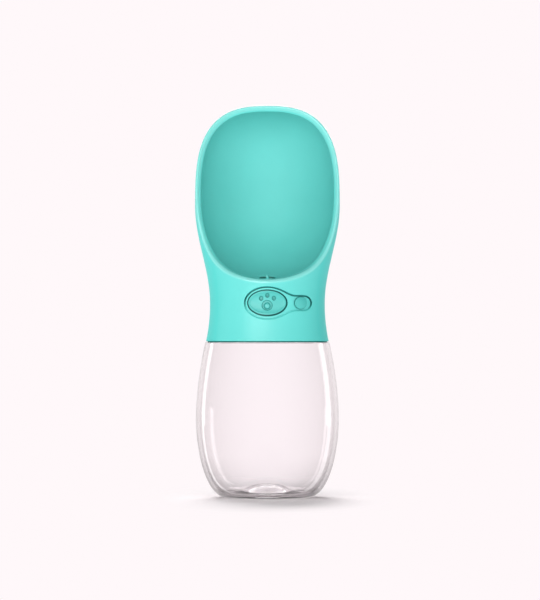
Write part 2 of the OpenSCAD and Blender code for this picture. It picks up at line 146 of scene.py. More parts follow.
def smooth(piece: bpy.types.Object, sharp_deg: float = 38.0) -> bpy.types.Object:
    """Shades a piece smoothly, apart from edges sharper than an angle.

    Args:
        piece: a piece with a mesh.
        sharp_deg: the angle, in degrees.

    Returns:
        The same piece.
    """
    piece.data.shade_smooth()
    piece.data.set_sharp_from_angle(angle=radians(sharp_deg))
    return piece


def join(name: str, pieces: list[bpy.types.Object]) -> bpy.types.Object:
    """Puts several meshes in one object, with its place in its mesh.

    Args:
        name: name of the new piece.
        pieces: the pieces to put in it, which are removed.

    Returns:
        The new object.
    """
    points: list[Array] = []
    faces: list[list[int]] = []
    for piece in pieces:
        start = sum(len(block) for block in points)
        co = np.empty(len(piece.data.vertices) * 3)
        piece.data.vertices.foreach_get("co", co)
        points.append(co.reshape(-1, 3) / MM)
        faces += [[start + v for v in face.vertices] for face in piece.data.polygons]
        bpy.data.objects.remove(piece)
    return make_mesh(name, np.concatenate(points), faces)


def cut(piece: bpy.types.Object, cutter: bpy.types.Object) -> None:
    """Takes a closed cutter out of a closed piece and keeps the result as its mesh.

    Args:
        piece: the piece that is cut.
        cutter: the solid that is taken out of it and then removed.
    """
    step = piece.modifiers.new("cut", "BOOLEAN")
    step.operation = "DIFFERENCE"
    step.solver = "MANIFOLD"
    step.object = cutter
    graph = bpy.context.evaluated_depsgraph_get()
    result = bpy.data.meshes.new_from_object(piece.evaluated_get(graph))
    piece.modifiers.clear()
    old = piece.data
    piece.data = result
    bpy.data.meshes.remove(old)
    bpy.data.objects.remove(cutter)


# ---------------------------------------------------------------- geometry


def ring_angles(count: int) -> Array:
    """Angles once round a circle, a whole turn divided by their number apart."""
    return np.linspace(0.0, TURN, count, endpoint=False)


def round_axis(radius: Array | float, angle: Array, z: Array | float) -> Array:
    """Points round Z at angles from the front: the radius times the sine, and minus it times the cosine."""
    return np.stack(np.broadcast_arrays(radius * np.sin(angle), -radius * np.cos(angle), z), axis=-1)


def soft_min(a: Array, b: Array, width: float) -> Array:
    """Smaller of two values, blended over a width by a quarter of the squared overlap."""
    overlap = np.maximum(width - np.abs(a - b), 0.0) / width
    return np.minimum(a, b) - overlap**2 * width / 4.0


def soft_max(a: Array, b: Array, width: float) -> Array:
    """Larger of two values, blended over a width in the same way."""
    return -soft_min(-a, -b, width)


def ramp(x: Array, low: float, high: float) -> Array:
    """Rises from 0 at low to 1 at high along a cubic with level ends."""
    t = np.clip((x - low) / (high - low), 0.0, 1.0)
    return t * t * (3.0 - 2.0 * t)


def oval_distance(x: Array, z: Array, half_w: float, half_h: float) -> Array:
    """Distance outside an ellipse, from the lengths of the point over its half axes once and twice."""
    once, twice = np.hypot(x / half_w, z / half_h), np.hypot(x / half_w**2, z / half_h**2)
    return once * (once - 1.0) / np.maximum(twice, 1e-9)


def bar_distance(x: Array, z: Array, x0: float, x1: float, radius: float) -> Array:
    """Distance outside a round-ended bar along X: that to the nearest point of its middle, less its radius."""
    return np.hypot(x - np.clip(x, x0, x1), z) - radius


def oval_rings(half_w: Array, half_h: Array, angle: Array) -> tuple[Array, Array]:
    """Sideways and upward places on upright ovals, one row for each pair of half axes."""
    return half_w[:, None] * np.cos(angle), half_h[:, None] * np.sin(angle)


def slope_of(f: Callable[[Array], Array], x: Array, step: float = 0.01) -> Array:
    """Slope of a function, from its values a step to each side."""
    return (f(x + step) - f(x - step)) / (2.0 * step)


def share_along(points: Array) -> Array:
    """Share of a polyline's length at each of its points, from 0 to 1."""
    run = np.concatenate([[0.0], np.cumsum(np.linalg.norm(np.diff(points, axis=0), axis=1))])
    return run / run[-1]


def solve_down(f: Callable[[Array], Array], low: Array, high: Array, steps: int = 48) -> Array:
    """Finds where a function falls through zero, by halving.

    Args:
        f: the function, positive at low and negative at high.
        low: lower ends of the ranges.
        high: upper ends of the ranges.
        steps: how many times the ranges are halved.

    Returns:
        The places where it is zero.
    """
    low, high = low.astype(float), high.astype(float)
    for _ in range(steps):
        mid = 0.5 * (low + high)
        inside = f(mid) > 0.0
        low, high = np.where(inside, mid, low), np.where(inside, high, mid)
    return 0.5 * (low + high)


# ------------------------------------------------------------------ the form


@dataclass(frozen=True)
class Form:
    """The outlines that the bottle and the head share, in millimetres."""

    total_h: float = 225.6
    seam_z: float = 89.0
    seam_gap: float = 0.6
    wall: float = 2.2
    body_r: float = 41.1
    scoop_step: float = 0.5
    belly_z: float = 46.0
    shoulder_step: float = 0.5
    shoulder_power: float = 1.75
    base_r: float = 24.0
    punt_r: float = 13.8
    punt_h: float = 5.6
    swell_r: float = 20.0
    neck_room: float = 11.0
    neck_h: float = 9.0
    skirt_flare: float = 2.3
    waist_r: float = 33.0
    waist_h: float = 22.0
    scoop_h: float = 79.0
    crown_power: float = 2.9
    lip_h: float = 12.8
    rim_lean: float = 14.0
    rim_forward: float = 19.0
    sweep_h: float = 35.0
    sweep_power: float = 3.5
    floor_h: float = 48.0
    floor_front: float = 7.0
    floor_lift: float = 0.2
    floor_stretch: float = 1.01
    floor_fillet: float = 7.0
    scoop_wall: float = 3.15
    outlet_r: float = 4.7
    outlet_y: float = 7.5

    @property
    def head_z(self) -> float:
        """Lower edge of the head."""
        return self.seam_z + self.seam_gap

    @property
    def waist_z(self) -> float:
        """Height of the waist."""
        return self.seam_z + self.waist_h

    @property
    def scoop_z(self) -> float:
        """Height of the scoop's widest place."""
        return self.seam_z + self.scoop_h

    @property
    def scoop_r(self) -> float:
        """Largest radius of the scoop."""
        return self.body_r + self.scoop_step

    @property
    def lip_z(self) -> float:
        """Height of the front lip."""
        return self.waist_z + self.lip_h

    @property
    def skirt_r(self) -> float:
        """Radius of the head at the seam."""
        return self.waist_r + self.skirt_flare

    @property
    def neck_r(self) -> float:
        """Radius of the bottle's neck."""
        return self.waist_r - self.neck_room

    @property
    def bore_r(self) -> float:
        """Inner radius of the head at the waist."""
        return self.waist_r - self.wall

    @property
    def floor_low_y(self) -> float:
        """Where the floor of the scoop is lowest."""
        return self.floor_front - self.waist_r

    @property
    def floor_mid_z(self) -> float:
        """Height at which the floor has turned into the back wall."""
        return self.lip_z + self.floor_lift + self.floor_h

    @property
    def floor_l(self) -> float:
        """Length of the floor's ellipse, from its lowest place to the back."""
        return (self.scoop_r - self.scoop_wall - self.floor_low_y) * self.floor_stretch

    def head_radius(self, z: Array | float, inset: float = 0.0) -> Array:
        """Outer radius of the head.

        A parabola below the waist, half a cosine wave from the waist to the scoop's
        widest place, and a superellipse above it. The inset moves the outline
        inwards at right angles to itself.

        Args:
            z: heights.
            inset: distance inwards.

        Returns:
            Radii at those heights.
        """
        z = np.asarray(z, float)
        low, rise = self.waist_z - self.head_z, self.scoop_z - self.waist_z
        t = np.clip((self.waist_z - z) / low, 0.0, 1.2)
        skirt, skirt_slope = self.waist_r + self.skirt_flare * t**2, -2.0 * self.skirt_flare * t / low
        phase = pi * np.clip((z - self.waist_z) / rise, 0.0, 1.0)
        swing = (self.scoop_r - self.waist_r) / 2.0
        wave, wave_slope = self.waist_r + swing * (1.0 - np.cos(phase)), swing * np.sin(phase) * pi / rise
        up = np.clip((z - self.scoop_z) / (self.total_h - self.scoop_z - inset), 0.0, 1.0)
        crown = (self.scoop_r - inset) * (1.0 - up**self.crown_power) ** (1.0 / self.crown_power)
        below = z < self.waist_z
        slope = np.where(below, skirt_slope, wave_slope)
        shell = np.where(below, skirt, wave) - inset * np.sqrt(1.0 + slope**2)
        return np.where(z < self.scoop_z, shell, crown)

    def rim_y(self, z: Array) -> Array:
        """Where the rim stands in front of the axis, seen from the side.

        A leaning line, pulled forward to the front of the neck by a power of the
        height still missing to the end of the sweep.

        Args:
            z: heights.

        Returns:
            Places along Y at those heights.
        """
        line = (z - self.lip_z) * tan(radians(self.rim_lean)) - self.rim_forward
        pull = float(self.head_radius(self.lip_z)) - self.rim_forward
        return line - pull * np.maximum(0.0, 1.0 - (z - self.lip_z) / self.sweep_h) ** self.sweep_power

    def rim_slope(self, z: Array) -> Array:
        """How much the rim moves back for each millimetre of height."""
        return slope_of(self.rim_y, z)

    def behind_rim(self, y: Array, z: Array) -> Array:
        """Distance behind the surface that cuts the scoop open, at right angles to it."""
        return (y - self.rim_y(z)) / np.sqrt(1.0 + self.rim_slope(z) ** 2)

    def bowl_room(self, x: Array, y: Array, z: Array) -> Array:
        """Below zero inside the scoop: inside both the inset head and the bullet-shaped floor.

        The bullet is round across and half an ellipse along its length, and the
        two walls meet in a soft fillet.

        Args:
            x: places sideways.
            y: places backwards.
            z: heights.

        Returns:
            About the distance outside the scoop's inner surface.
        """
        side = np.hypot(x, y) - self.head_radius(z, self.scoop_wall)
        drop = np.minimum(z - self.floor_mid_z, 0.0) / self.floor_h
        back = np.maximum(y - self.floor_low_y, 0.0) / self.floor_l
        floor = (np.sqrt((x / self.floor_h) ** 2 + drop**2 + back**2) - 1.0) * self.floor_h
        return soft_max(side, floor, self.floor_fillet)

    def under_floor(self, x: Array, y: Array) -> Array:
        """Height of the underside of the scoop's floor: the same bullet, larger by the wall.

        Args:
            x: places sideways.
            y: places backwards.

        Returns:
            Heights.
        """
        deep, long = self.floor_h + self.wall, self.floor_l + self.wall
        back = np.maximum(y - self.floor_low_y, 0.0) / long
        return self.floor_mid_z - deep * np.sqrt(np.maximum(1.0 - (x / deep) ** 2 - back**2, 0.0))

    def bottle_radius(self, z: Array) -> Array:
        """Outer radius of the bottle: a quarter ellipse to the belly, then a power curve to the seam.

        Args:
            z: heights.

        Returns:
            Radii at those heights.
        """
        taper = self.body_r - self.skirt_r - self.shoulder_step
        down = np.clip(1.0 - z / self.belly_z, 0.0, 1.0)
        base = self.base_r + (self.body_r - self.base_r) * np.sqrt(1.0 - down**2)
        up = np.clip((z - self.belly_z) / (self.seam_z - self.belly_z), 0.0, 1.0)
        return np.where(z < self.belly_z, base, self.body_r - taper * up**self.shoulder_power)


FORM = Form()


# ----------------------------------------------------------------- materials


def linear(hex_colour: str) -> tuple[float, ...]:
    """Turns an sRGB hex colour such as #FFEEDD into linear red, green, blue and an alpha of 1."""
    raw = np.array([int(hex_colour[k : k + 2], 16) / 255.0 for k in (1, 3, 5)])
    return (*np.where(raw <= 0.04045, raw / 12.92, ((raw + 0.055) / 1.055) ** 2.4).tolist(), 1.0)


def add_node(tree: bpy.types.NodeTree, kind: str, values: dict | None = None, **settings) -> bpy.types.Node:
    """Adds a node with its settings, socket values and links.

    Args:
        tree: node tree to add to.
        kind: Blender's name of the node type, without ShaderNode.
        values: socket name or number to a value, an output socket, or a node whose first output is linked.
        **settings: properties of the node itself.

    Returns:
        The new node.
    """
    node = tree.nodes.new("ShaderNode" + kind)
    for key, value in settings.items():
        setattr(node, key, value)
    for key, value in (values or {}).items():
        source = value.outputs[0] if isinstance(value, bpy.types.Node) else value
        if isinstance(source, bpy.types.NodeSocket):
            tree.links.new(source, node.inputs[key])
        else:
            node.inputs[key].default_value = source
    return node


@dataclass(frozen=True)
class Surface:
    """A material made of nodes; each kind adds its own and hands back its shader."""

    name: str

    def shader(self, tree: bpy.types.NodeTree, at: bpy.types.NodeSocket) -> bpy.types.Node:
        """Adds the nodes of this kind of surface."""
        raise NotImplementedError

    def build(self) -> bpy.types.Material:
        """Makes the material, with its patterns on Object coordinates.

        Returns:
            The new material.
        """
        material = bpy.data.materials.new(self.name)
        material.use_nodes = True
        tree = material.node_tree
        tree.nodes.clear()
        at = add_node(tree, "TexCoord").outputs["Object"]
        add_node(tree, "OutputMaterial", {"Surface": self.shader(tree, at)})
        return material


@dataclass(frozen=True)
class MouldedPlastic(Surface):
    """An opaque moulded plastic: an even colour, faint flow clouds and a spark-eroded grain.

    The grain of the mould spreads the highlight, and the slow waviness of a thick
    moulding bends it a little. The real grain is about 0.1 mm and is drawn coarser,
    because it wouldn't show. Creases are darkened towards the deep colour as painted shade,
    where ambient occlusion finds them closed in.
    """

    colour: str
    shade: str
    roughness: float
    grain_mm: float = 0.9
    grain_depth: float = 0.012
    cloud_mm: float = 24.0
    subsurface: float = 0.0
    ior: float = 1.49
    gloss: float = 0.6
    edge_gloss: float = 0.03
    # painted shade: the deep colour is mixed into creases that ambient occlusion finds closed in
    deep: str = "#0C6A65"
    painted_shade_reach_mm: float = 1.6
    painted_crease_shade: float = 0.0

    def shader(self, tree: bpy.types.NodeTree, at: bpy.types.NodeSocket) -> bpy.types.Node:
        """Adds the plastic's nodes.

        Args:
            tree: node tree of the material.
            at: Object coordinates.

        Returns:
            The shader.
        """
        cloud = add_node(tree, "TexNoise", {
            "Vector": at, "Scale": 1.0 / (self.cloud_mm * MM), "Detail": 3.0, "Roughness": 0.55})
        grain = add_node(tree, "TexNoise", {
            "Vector": at, "Scale": 1.0 / (self.grain_mm * MM), "Detail": 2.0, "Roughness": 0.6})
        tint = add_node(tree, "ValToRGB", {"Fac": cloud})
        for stop, position, colour in zip(tint.color_ramp.elements, (0.3, 0.7), (self.shade, self.colour)):
            stop.position, stop.color = position, linear(colour)
        rough = add_node(tree, "MapRange", {
            "Value": grain, "From Min": 0.3, "From Max": 0.7,
            "To Min": self.roughness - 0.03, "To Max": self.roughness + 0.04})
        graze = add_node(tree, "LayerWeight", {"Blend": 0.5})
        shine = add_node(tree, "MapRange", {
            "Value": graze.outputs["Facing"], "From Min": 0.15, "From Max": 0.5,
            "To Min": self.gloss, "To Max": self.edge_gloss})
        bump = add_node(tree, "Bump", {"Height": grain, "Strength": 0.25, "Distance": self.grain_depth * MM})
        # painted shade: creases that ambient occlusion finds closed in are mixed towards the deep colour
        open_sky = add_node(tree, "AmbientOcclusion", {"Distance": self.painted_shade_reach_mm * MM}, samples=8)
        painted_shade_share = add_node(tree, "MapRange", {
            "Value": open_sky.outputs["AO"], "From Min": 0.4, "From Max": 0.9,
            "To Min": self.painted_crease_shade, "To Max": 0.0})
        colour = add_node(tree, "Mix", {0: painted_shade_share, 6: tint, 7: linear(self.deep)}, data_type="RGBA")
        return add_node(tree, "BsdfPrincipled", {
            "Base Color": colour.outputs[2] if self.painted_crease_shade else tint,
            "Roughness": rough,
            "Specular IOR Level": shine,
            "Normal": bump,
            "IOR": self.ior,
            "Subsurface Weight": self.subsurface,
            "Subsurface Radius": (0.002, 0.002, 0.002),
            "Subsurface Scale": 0.5,
        })


@dataclass(frozen=True)
class ClearPlastic(Surface):
    """Clear blow-moulded copolyester: colourless face on, with a little painted grey shade where it is seen
    edge on.

    The slow waves of the blown wall bend what is seen through it. The base's outer corner
    is darkened with painted shade, and a painted dark line follows the lower contour.
    """

    name: str = "clear_copolyester_blown"
    face: str = "#FEFCFD"
    # painted shade: edge, foot and line darken the glass where it is seen edge on, most in the base's outer
    # corner and low along the contour
    edge: str = "#D5D1D1"
    foot: str = "#4A4644"
    line: str = "#34302F"
    corner_shade_mm: tuple[float, float] = (5.0, 24.0)
    line_mm: tuple[float, float] = (14.0, 60.0)
    outer_mm: tuple[float, float] = (22.0, 28.0)
    roughness: float = 0.015
    ior: float = 1.45
    wave_mm: float = 18.0
    wave_depth: float = 0.2

    def shader(self, tree: bpy.types.NodeTree, at: bpy.types.NodeSocket) -> bpy.types.Node:
        """Adds the clear plastic's nodes.

        Args:
            tree: node tree of the material.
            at: Object coordinates.

        Returns:
            The shader.
        """
        wave = add_node(tree, "TexNoise", {"Vector": at, "Scale": 1.0 / (self.wave_mm * MM), "Detail": 1.0})
        bump = add_node(tree, "Bump", {"Height": wave, "Strength": 0.2, "Distance": self.wave_depth * MM})
        facing = add_node(tree, "LayerWeight", {"Blend": 0.25}).outputs["Facing"]
        height = add_node(tree, "SeparateXYZ", {0: at}).outputs["Z"]
        flat = add_node(tree, "VectorMath", {0: at, 1: (1.0, 1.0, 0.0)}, operation="MULTIPLY")
        radius = add_node(tree, "VectorMath", {0: flat}, operation="LENGTH").outputs["Value"]
        outside = add_node(tree, "MapRange", {
            "Value": radius, "From Min": self.outer_mm[0] * MM, "From Max": self.outer_mm[1] * MM})
        turned = add_node(tree, "MapRange", {"Value": facing, "From Max": 0.8})
        sharp = add_node(tree, "MapRange", {"Value": facing, "From Min": 0.4, "From Max": 0.65})
        low, lower = (
            add_node(tree, "MapRange", {
                "Value": height, "From Min": start * MM, "From Max": end * MM, "To Min": 1.0, "To Max": 0.0})
            for start, end in (self.corner_shade_mm, self.line_mm)
        )
        outline = add_node(tree, "Math", {0: sharp, 1: lower}, operation="MULTIPLY")
        corner, share, outer = (
            add_node(tree, "Math", {0: part, 1: outside}, operation="MULTIPLY")
            for part in (low, turned, outline)
        )
        # painted shade: grey edges, a dark base corner and a dark lower line mixed into the glass colour
        edge, foot, face, line = (linear(colour) for colour in (self.edge, self.foot, self.face, self.line))
        side = add_node(tree, "Mix", {0: corner, 6: edge, 7: foot}, data_type="RGBA")
        tint = add_node(tree, "Mix", {0: share, 6: face, 7: side.outputs[2]}, data_type="RGBA")
        lined = add_node(tree, "Mix", {0: outer, 6: tint.outputs[2], 7: line}, data_type="RGBA")
        return add_node(tree, "BsdfPrincipled", {
            "Base Color": lined.outputs[2],
            "Roughness": self.roughness,
            "Transmission Weight": 1.0,
            "IOR": self.ior,
            "Normal": bump,
        })


@dataclass(frozen=True)
class Silicone(Surface):
    """Moulded food silicone: milky, soft to light, with the dull skin of a compression mould."""

    name: str = "milky_silicone_moulded"
    colour: str = "#EDEEEC"
    shade: str = "#DDE0DE"
    roughness: float = 0.42
    ior: float = 1.41
    cloud_mm: float = 5.0
    skin_depth: float = 0.02

    def shader(self, tree: bpy.types.NodeTree, at: bpy.types.NodeSocket) -> bpy.types.Node:
        """Adds the silicone's nodes.

        Args:
            tree: node tree of the material.
            at: Object coordinates.

        Returns:
            The shader.
        """
        cloud = add_node(tree, "TexNoise", {"Vector": at, "Scale": 1.0 / (self.cloud_mm * MM), "Detail": 4.0})
        tint = add_node(tree, "ValToRGB", {"Fac": cloud})
        for stop, colour in zip(tint.color_ramp.elements, (self.shade, self.colour)):
            stop.color = linear(colour)
        bump = add_node(tree, "Bump", {"Height": cloud, "Strength": 0.2, "Distance": self.skin_depth * MM})
        return add_node(tree, "BsdfPrincipled", {
            "Base Color": tint,
            "Roughness": self.roughness,
            "Normal": bump,
            "IOR": self.ior,
            "Subsurface Weight": 0.5,
            "Subsurface Radius": (0.003, 0.003, 0.003),
            "Subsurface Scale": 0.5,
        })


@dataclass(frozen=True)
class DrawnSteel(Surface):
    """Stainless wire and screws: bright, with drawing lines that are coarser than the real ones, to show."""

    name: str = "stainless_steel_drawn"
    colour: str = "#C9C8C4"
    roughness: float = 0.24
    line_mm: float = 0.3

    def shader(self, tree: bpy.types.NodeTree, at: bpy.types.NodeSocket) -> bpy.types.Node:
        """Adds the steel's nodes.

        Args:
            tree: node tree of the material.
            at: Object coordinates.

        Returns:
            The shader.
        """
        lines = add_node(tree, "TexNoise", {"Vector": at, "Scale": 1.0 / (self.line_mm * MM), "Detail": 2.0})
        rough = add_node(tree, "MapRange", {
            "Value": lines, "To Min": self.roughness - 0.08, "To Max": self.roughness + 0.1})
        return add_node(tree, "BsdfPrincipled", {
            "Base Color": linear(self.colour), "Metallic": 1.0, "Roughness": rough})


class Finish(Enum):
    """The finishes of the object's pieces."""

    # HEAD and BUTTON darken their creases with painted shade
    HEAD = MouldedPlastic("teal_polypropylene_moulded", "#64E4DC", "#61E1D9", 0.4, gloss=0.8, painted_crease_shade=0.9)
    # painted highlight: a lighter copy of the head's teal for the rim's bead, glossier as well
    RIM = MouldedPlastic("teal_polypropylene_polished_painted_highlight", "#80EEE6", "#7DEBE3", 0.2, gloss=1.0, edge_gloss=0.7)
    # painted shade: a darker, greyer copy of the head's teal for the scoop's inside, rougher as well
    BOWL = MouldedPlastic("teal_polypropylene_satin_painted_shade", "#74D9D3", "#71D6D0", 0.6, gloss=0.35)
    BUTTON = MouldedPlastic(
        "teal_polypropylene_moulded_controls", "#54CEC6", "#51CBC3", 0.34, painted_crease_shade=0.9, painted_shade_reach_mm=2.6)
    INNER = MouldedPlastic("white_polypropylene_moulded", "#EEF0EE", "#E6E9E7", 0.38, subsurface=0.15)
    CLEAR = ClearPlastic()
    SEAL = Silicone()
    STEEL = DrawnSteel()

    def material(self) -> bpy.types.Material:
        """Makes this finish's material once and then returns the same one."""
        return bpy.data.materials.get(self.value.name) or self.value.build()


def dress(piece: bpy.types.Object, finish: Finish) -> None:
    """Gives a piece one finish in every slot.

    Args:
        piece: a piece with a mesh.
        finish: its finish.
    """
    slots = piece.data.materials
    if not slots:
        slots.append(None)
    for index in range(len(slots)):
        slots[index] = finish.material()


def place(piece: bpy.types.Object, body: str, slot: str, finish: Finish, *nodes: str) -> None:
    """Dresses a piece, lets it ride on a body and hides the CAD nodes it stands for.

    Args:
        piece: the finished piece.
        body: body that it moves with.
        slot: the record's material slot; not used.
        finish: its finish.
        *nodes: CAD nodes that it replaces.
    """
    dress(piece, finish)
    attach(piece, body)
    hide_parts(*nodes)
    log.info("%s rides on %s, %d faces", piece.name, body, len(piece.data.polygons))


# -------------------------------------------------------------------- bottle


@dataclass
class Bottle:
    """The clear bottle with its domed base and threaded neck."""

    form: Form = FORM
    thread_pitch: float = 4.0
    thread_h: float = 1.1
    thread_turns: float = 1.6
    thread_start: float = 2.2
    thread_fade: float = 0.08
    ridge: tuple[float, float] = (0.25, 0.95)
    edge_r: float = 0.5
    spigot_gap: float = 0.4
    spigot_h: float = 1.1
    roof: float = 1.2
    dome_in: float = 0.25
    brow: float = 0.5
    dome_power: float = 1.5
    dome_rows: int = 24
    low_rows: int = 36
    high_rows: int = 30
    neck_rows: int = 56
    columns: int = 192

    def dome(self, radius: float, base: float) -> tuple[Array, Array]:
        """Profile of a domed floor from its middle out: half a cosine wave of a power of the radius."""
        r = np.linspace(0.0, radius, self.dome_rows)
        return r, base + self.form.punt_h * (1.0 + np.cos(pi * (r / radius) ** self.dome_power)) / 2.0

    def side(self, inset: float, high: float) -> tuple[Array, Array]:
        """Profile of the wall from the base to a height, moved inwards at right angles to itself.

        The angle of the quarter ellipse sets the rows as far as the belly, and the
        height above it.

        Args:
            inset: distance inwards.
            high: height of the last row, before it is moved.

        Returns:
            Radii and heights.
        """
        f = self.form
        a = np.linspace(pi / 2.0, 0.0, self.low_rows)
        wide, tall = f.body_r - f.base_r, f.belly_z
        way_r, way_z = -wide * np.sin(a), -tall * np.cos(a)
        size = np.hypot(way_r, way_z)
        low_r = f.base_r + wide * np.cos(a) + inset * way_z / size
        low_z = tall * (1.0 - np.sin(a)) - inset * way_r / size
        z = np.linspace(f.belly_z, high, self.high_rows)[1:]
        slope = slope_of(f.bottle_radius, z)
        size = np.sqrt(1.0 + slope**2)
        high_r, high_z = f.bottle_radius(z) - inset / size, z + inset * slope / size
        return np.concatenate([low_r, high_r]), np.concatenate([low_z, high_z])

    def thread(self, z: Array, angle: Array) -> Array:
        """Height of the thread's ridge on the neck.

        The ridge is a bell round the helix whose height grows by the pitch in a
        turn, and it fades in and out at its ends.

        Args:
            z: heights of the rows.
            angle: angles of the columns.

        Returns:
            Rows by columns, in millimetres.
        """
        run = (z[:, None] - self.form.seam_z - self.thread_start) / self.thread_pitch - angle[None, :] / TURN
        turn = np.round(run)
        off = (run - turn) * self.thread_pitch
        at = turn + angle[None, :] / TURN
        start, end = -self.thread_fade / 4.0, self.thread_turns + self.thread_fade / 4.0
        fade = ramp(at, start, self.thread_fade) * (1.0 - ramp(at, self.thread_turns - self.thread_fade, end))
        return self.thread_h * fade * (1.0 - ramp(np.abs(off), *self.ridge))

    def build(self) -> None:
        """Makes the bottle as one closed wall.

        Its profile runs from the middle of the base out, up, in at the mouth and down
        again, and is turned round Z. Steps of a few tenths are its small bevels.
        """
        f, e = self.form, self.edge_r
        mouth, bore = f.seam_z + f.neck_h, f.neck_r - f.wall
        arc = np.linspace(0.0, pi / 2.0, 7)[1:]
        wall_r, wall_z = self.side(0.0, f.seam_z - e)
        step_r = f.head_radius(f.head_z, f.wall) - self.spigot_gap
        rise = self.spigot_h
        spigot_z = np.array([0.0, 0.3, rise - 0.4, rise, rise, rise + 0.4]) + f.seam_z
        neck_z = np.linspace(f.seam_z + rise + 0.6, mouth - 0.5, self.neck_rows)
        in_r, in_z = self.side(f.wall, f.seam_z - self.dome_in)
        swell_r, swell_z = self.dome(f.swell_r, f.wall)
        roof_z = f.seam_z + rise - self.roof
        turn_in = np.linspace(0.0, pi / 2.0, 8)[:0:-1]
        turn_r = f.seam_z - self.brow - in_z[-1]
        sections = [
            self.dome(f.punt_r, 0.0),
            (np.linspace(f.punt_r, f.base_r, 8)[1:-1], 0.0),
            (wall_r, wall_z),
            (wall_r[-1] - e + e * np.cos(arc), f.seam_z - e + e * np.sin(arc)),
            ([step_r + 0.3, step_r, step_r - 0.2, step_r - 0.8, f.neck_r + 0.9, f.neck_r + 0.25], spigot_z),
            (f.neck_r, neck_z),
            ([f.neck_r - 0.15, f.neck_r - 0.5], [mouth - 0.15, mouth]),
            ([bore + 0.5, bore + 0.15, bore], [mouth, mouth - 0.15, mouth - 0.5]),
            ([bore, bore + 0.3], [roof_z + 0.6, roof_z + 0.15]),
            ([bore + 1.0, step_r - 1.0], roof_z),
            (in_r[-1] - turn_r + turn_r * np.cos(turn_in), in_z[-1] + turn_r * np.sin(turn_in)),
            (in_r[::-1], in_z[::-1]),
            (np.linspace(f.swell_r, f.base_r, 6)[-2:0:-1], f.wall),
            (swell_r[::-1], swell_z[::-1]),
        ]
        blocks = [np.stack(np.broadcast_arrays(r, z), axis=-1) for r, z in sections]
        first = sum(len(block) for block in blocks[:5])
        radius, height = np.concatenate(blocks).T[:, :, None]
        angle = ring_angles(self.columns)
        swell = np.zeros((len(radius), self.columns))
        swell[first : first + self.neck_rows] = self.thread(neck_z, angle)
        r = radius + swell
        rings = np.stack([r * np.cos(angle), r * np.sin(angle), np.broadcast_to(height, r.shape)], axis=-1)
        piece = tidy(ring_grid("bottle_clear", rings, Ends.OPEN))
        place(smooth(piece), "bottle", "bottle_clear", Finish.CLEAR, "bottle")


# ---------------------------------------------------------------- scoop head


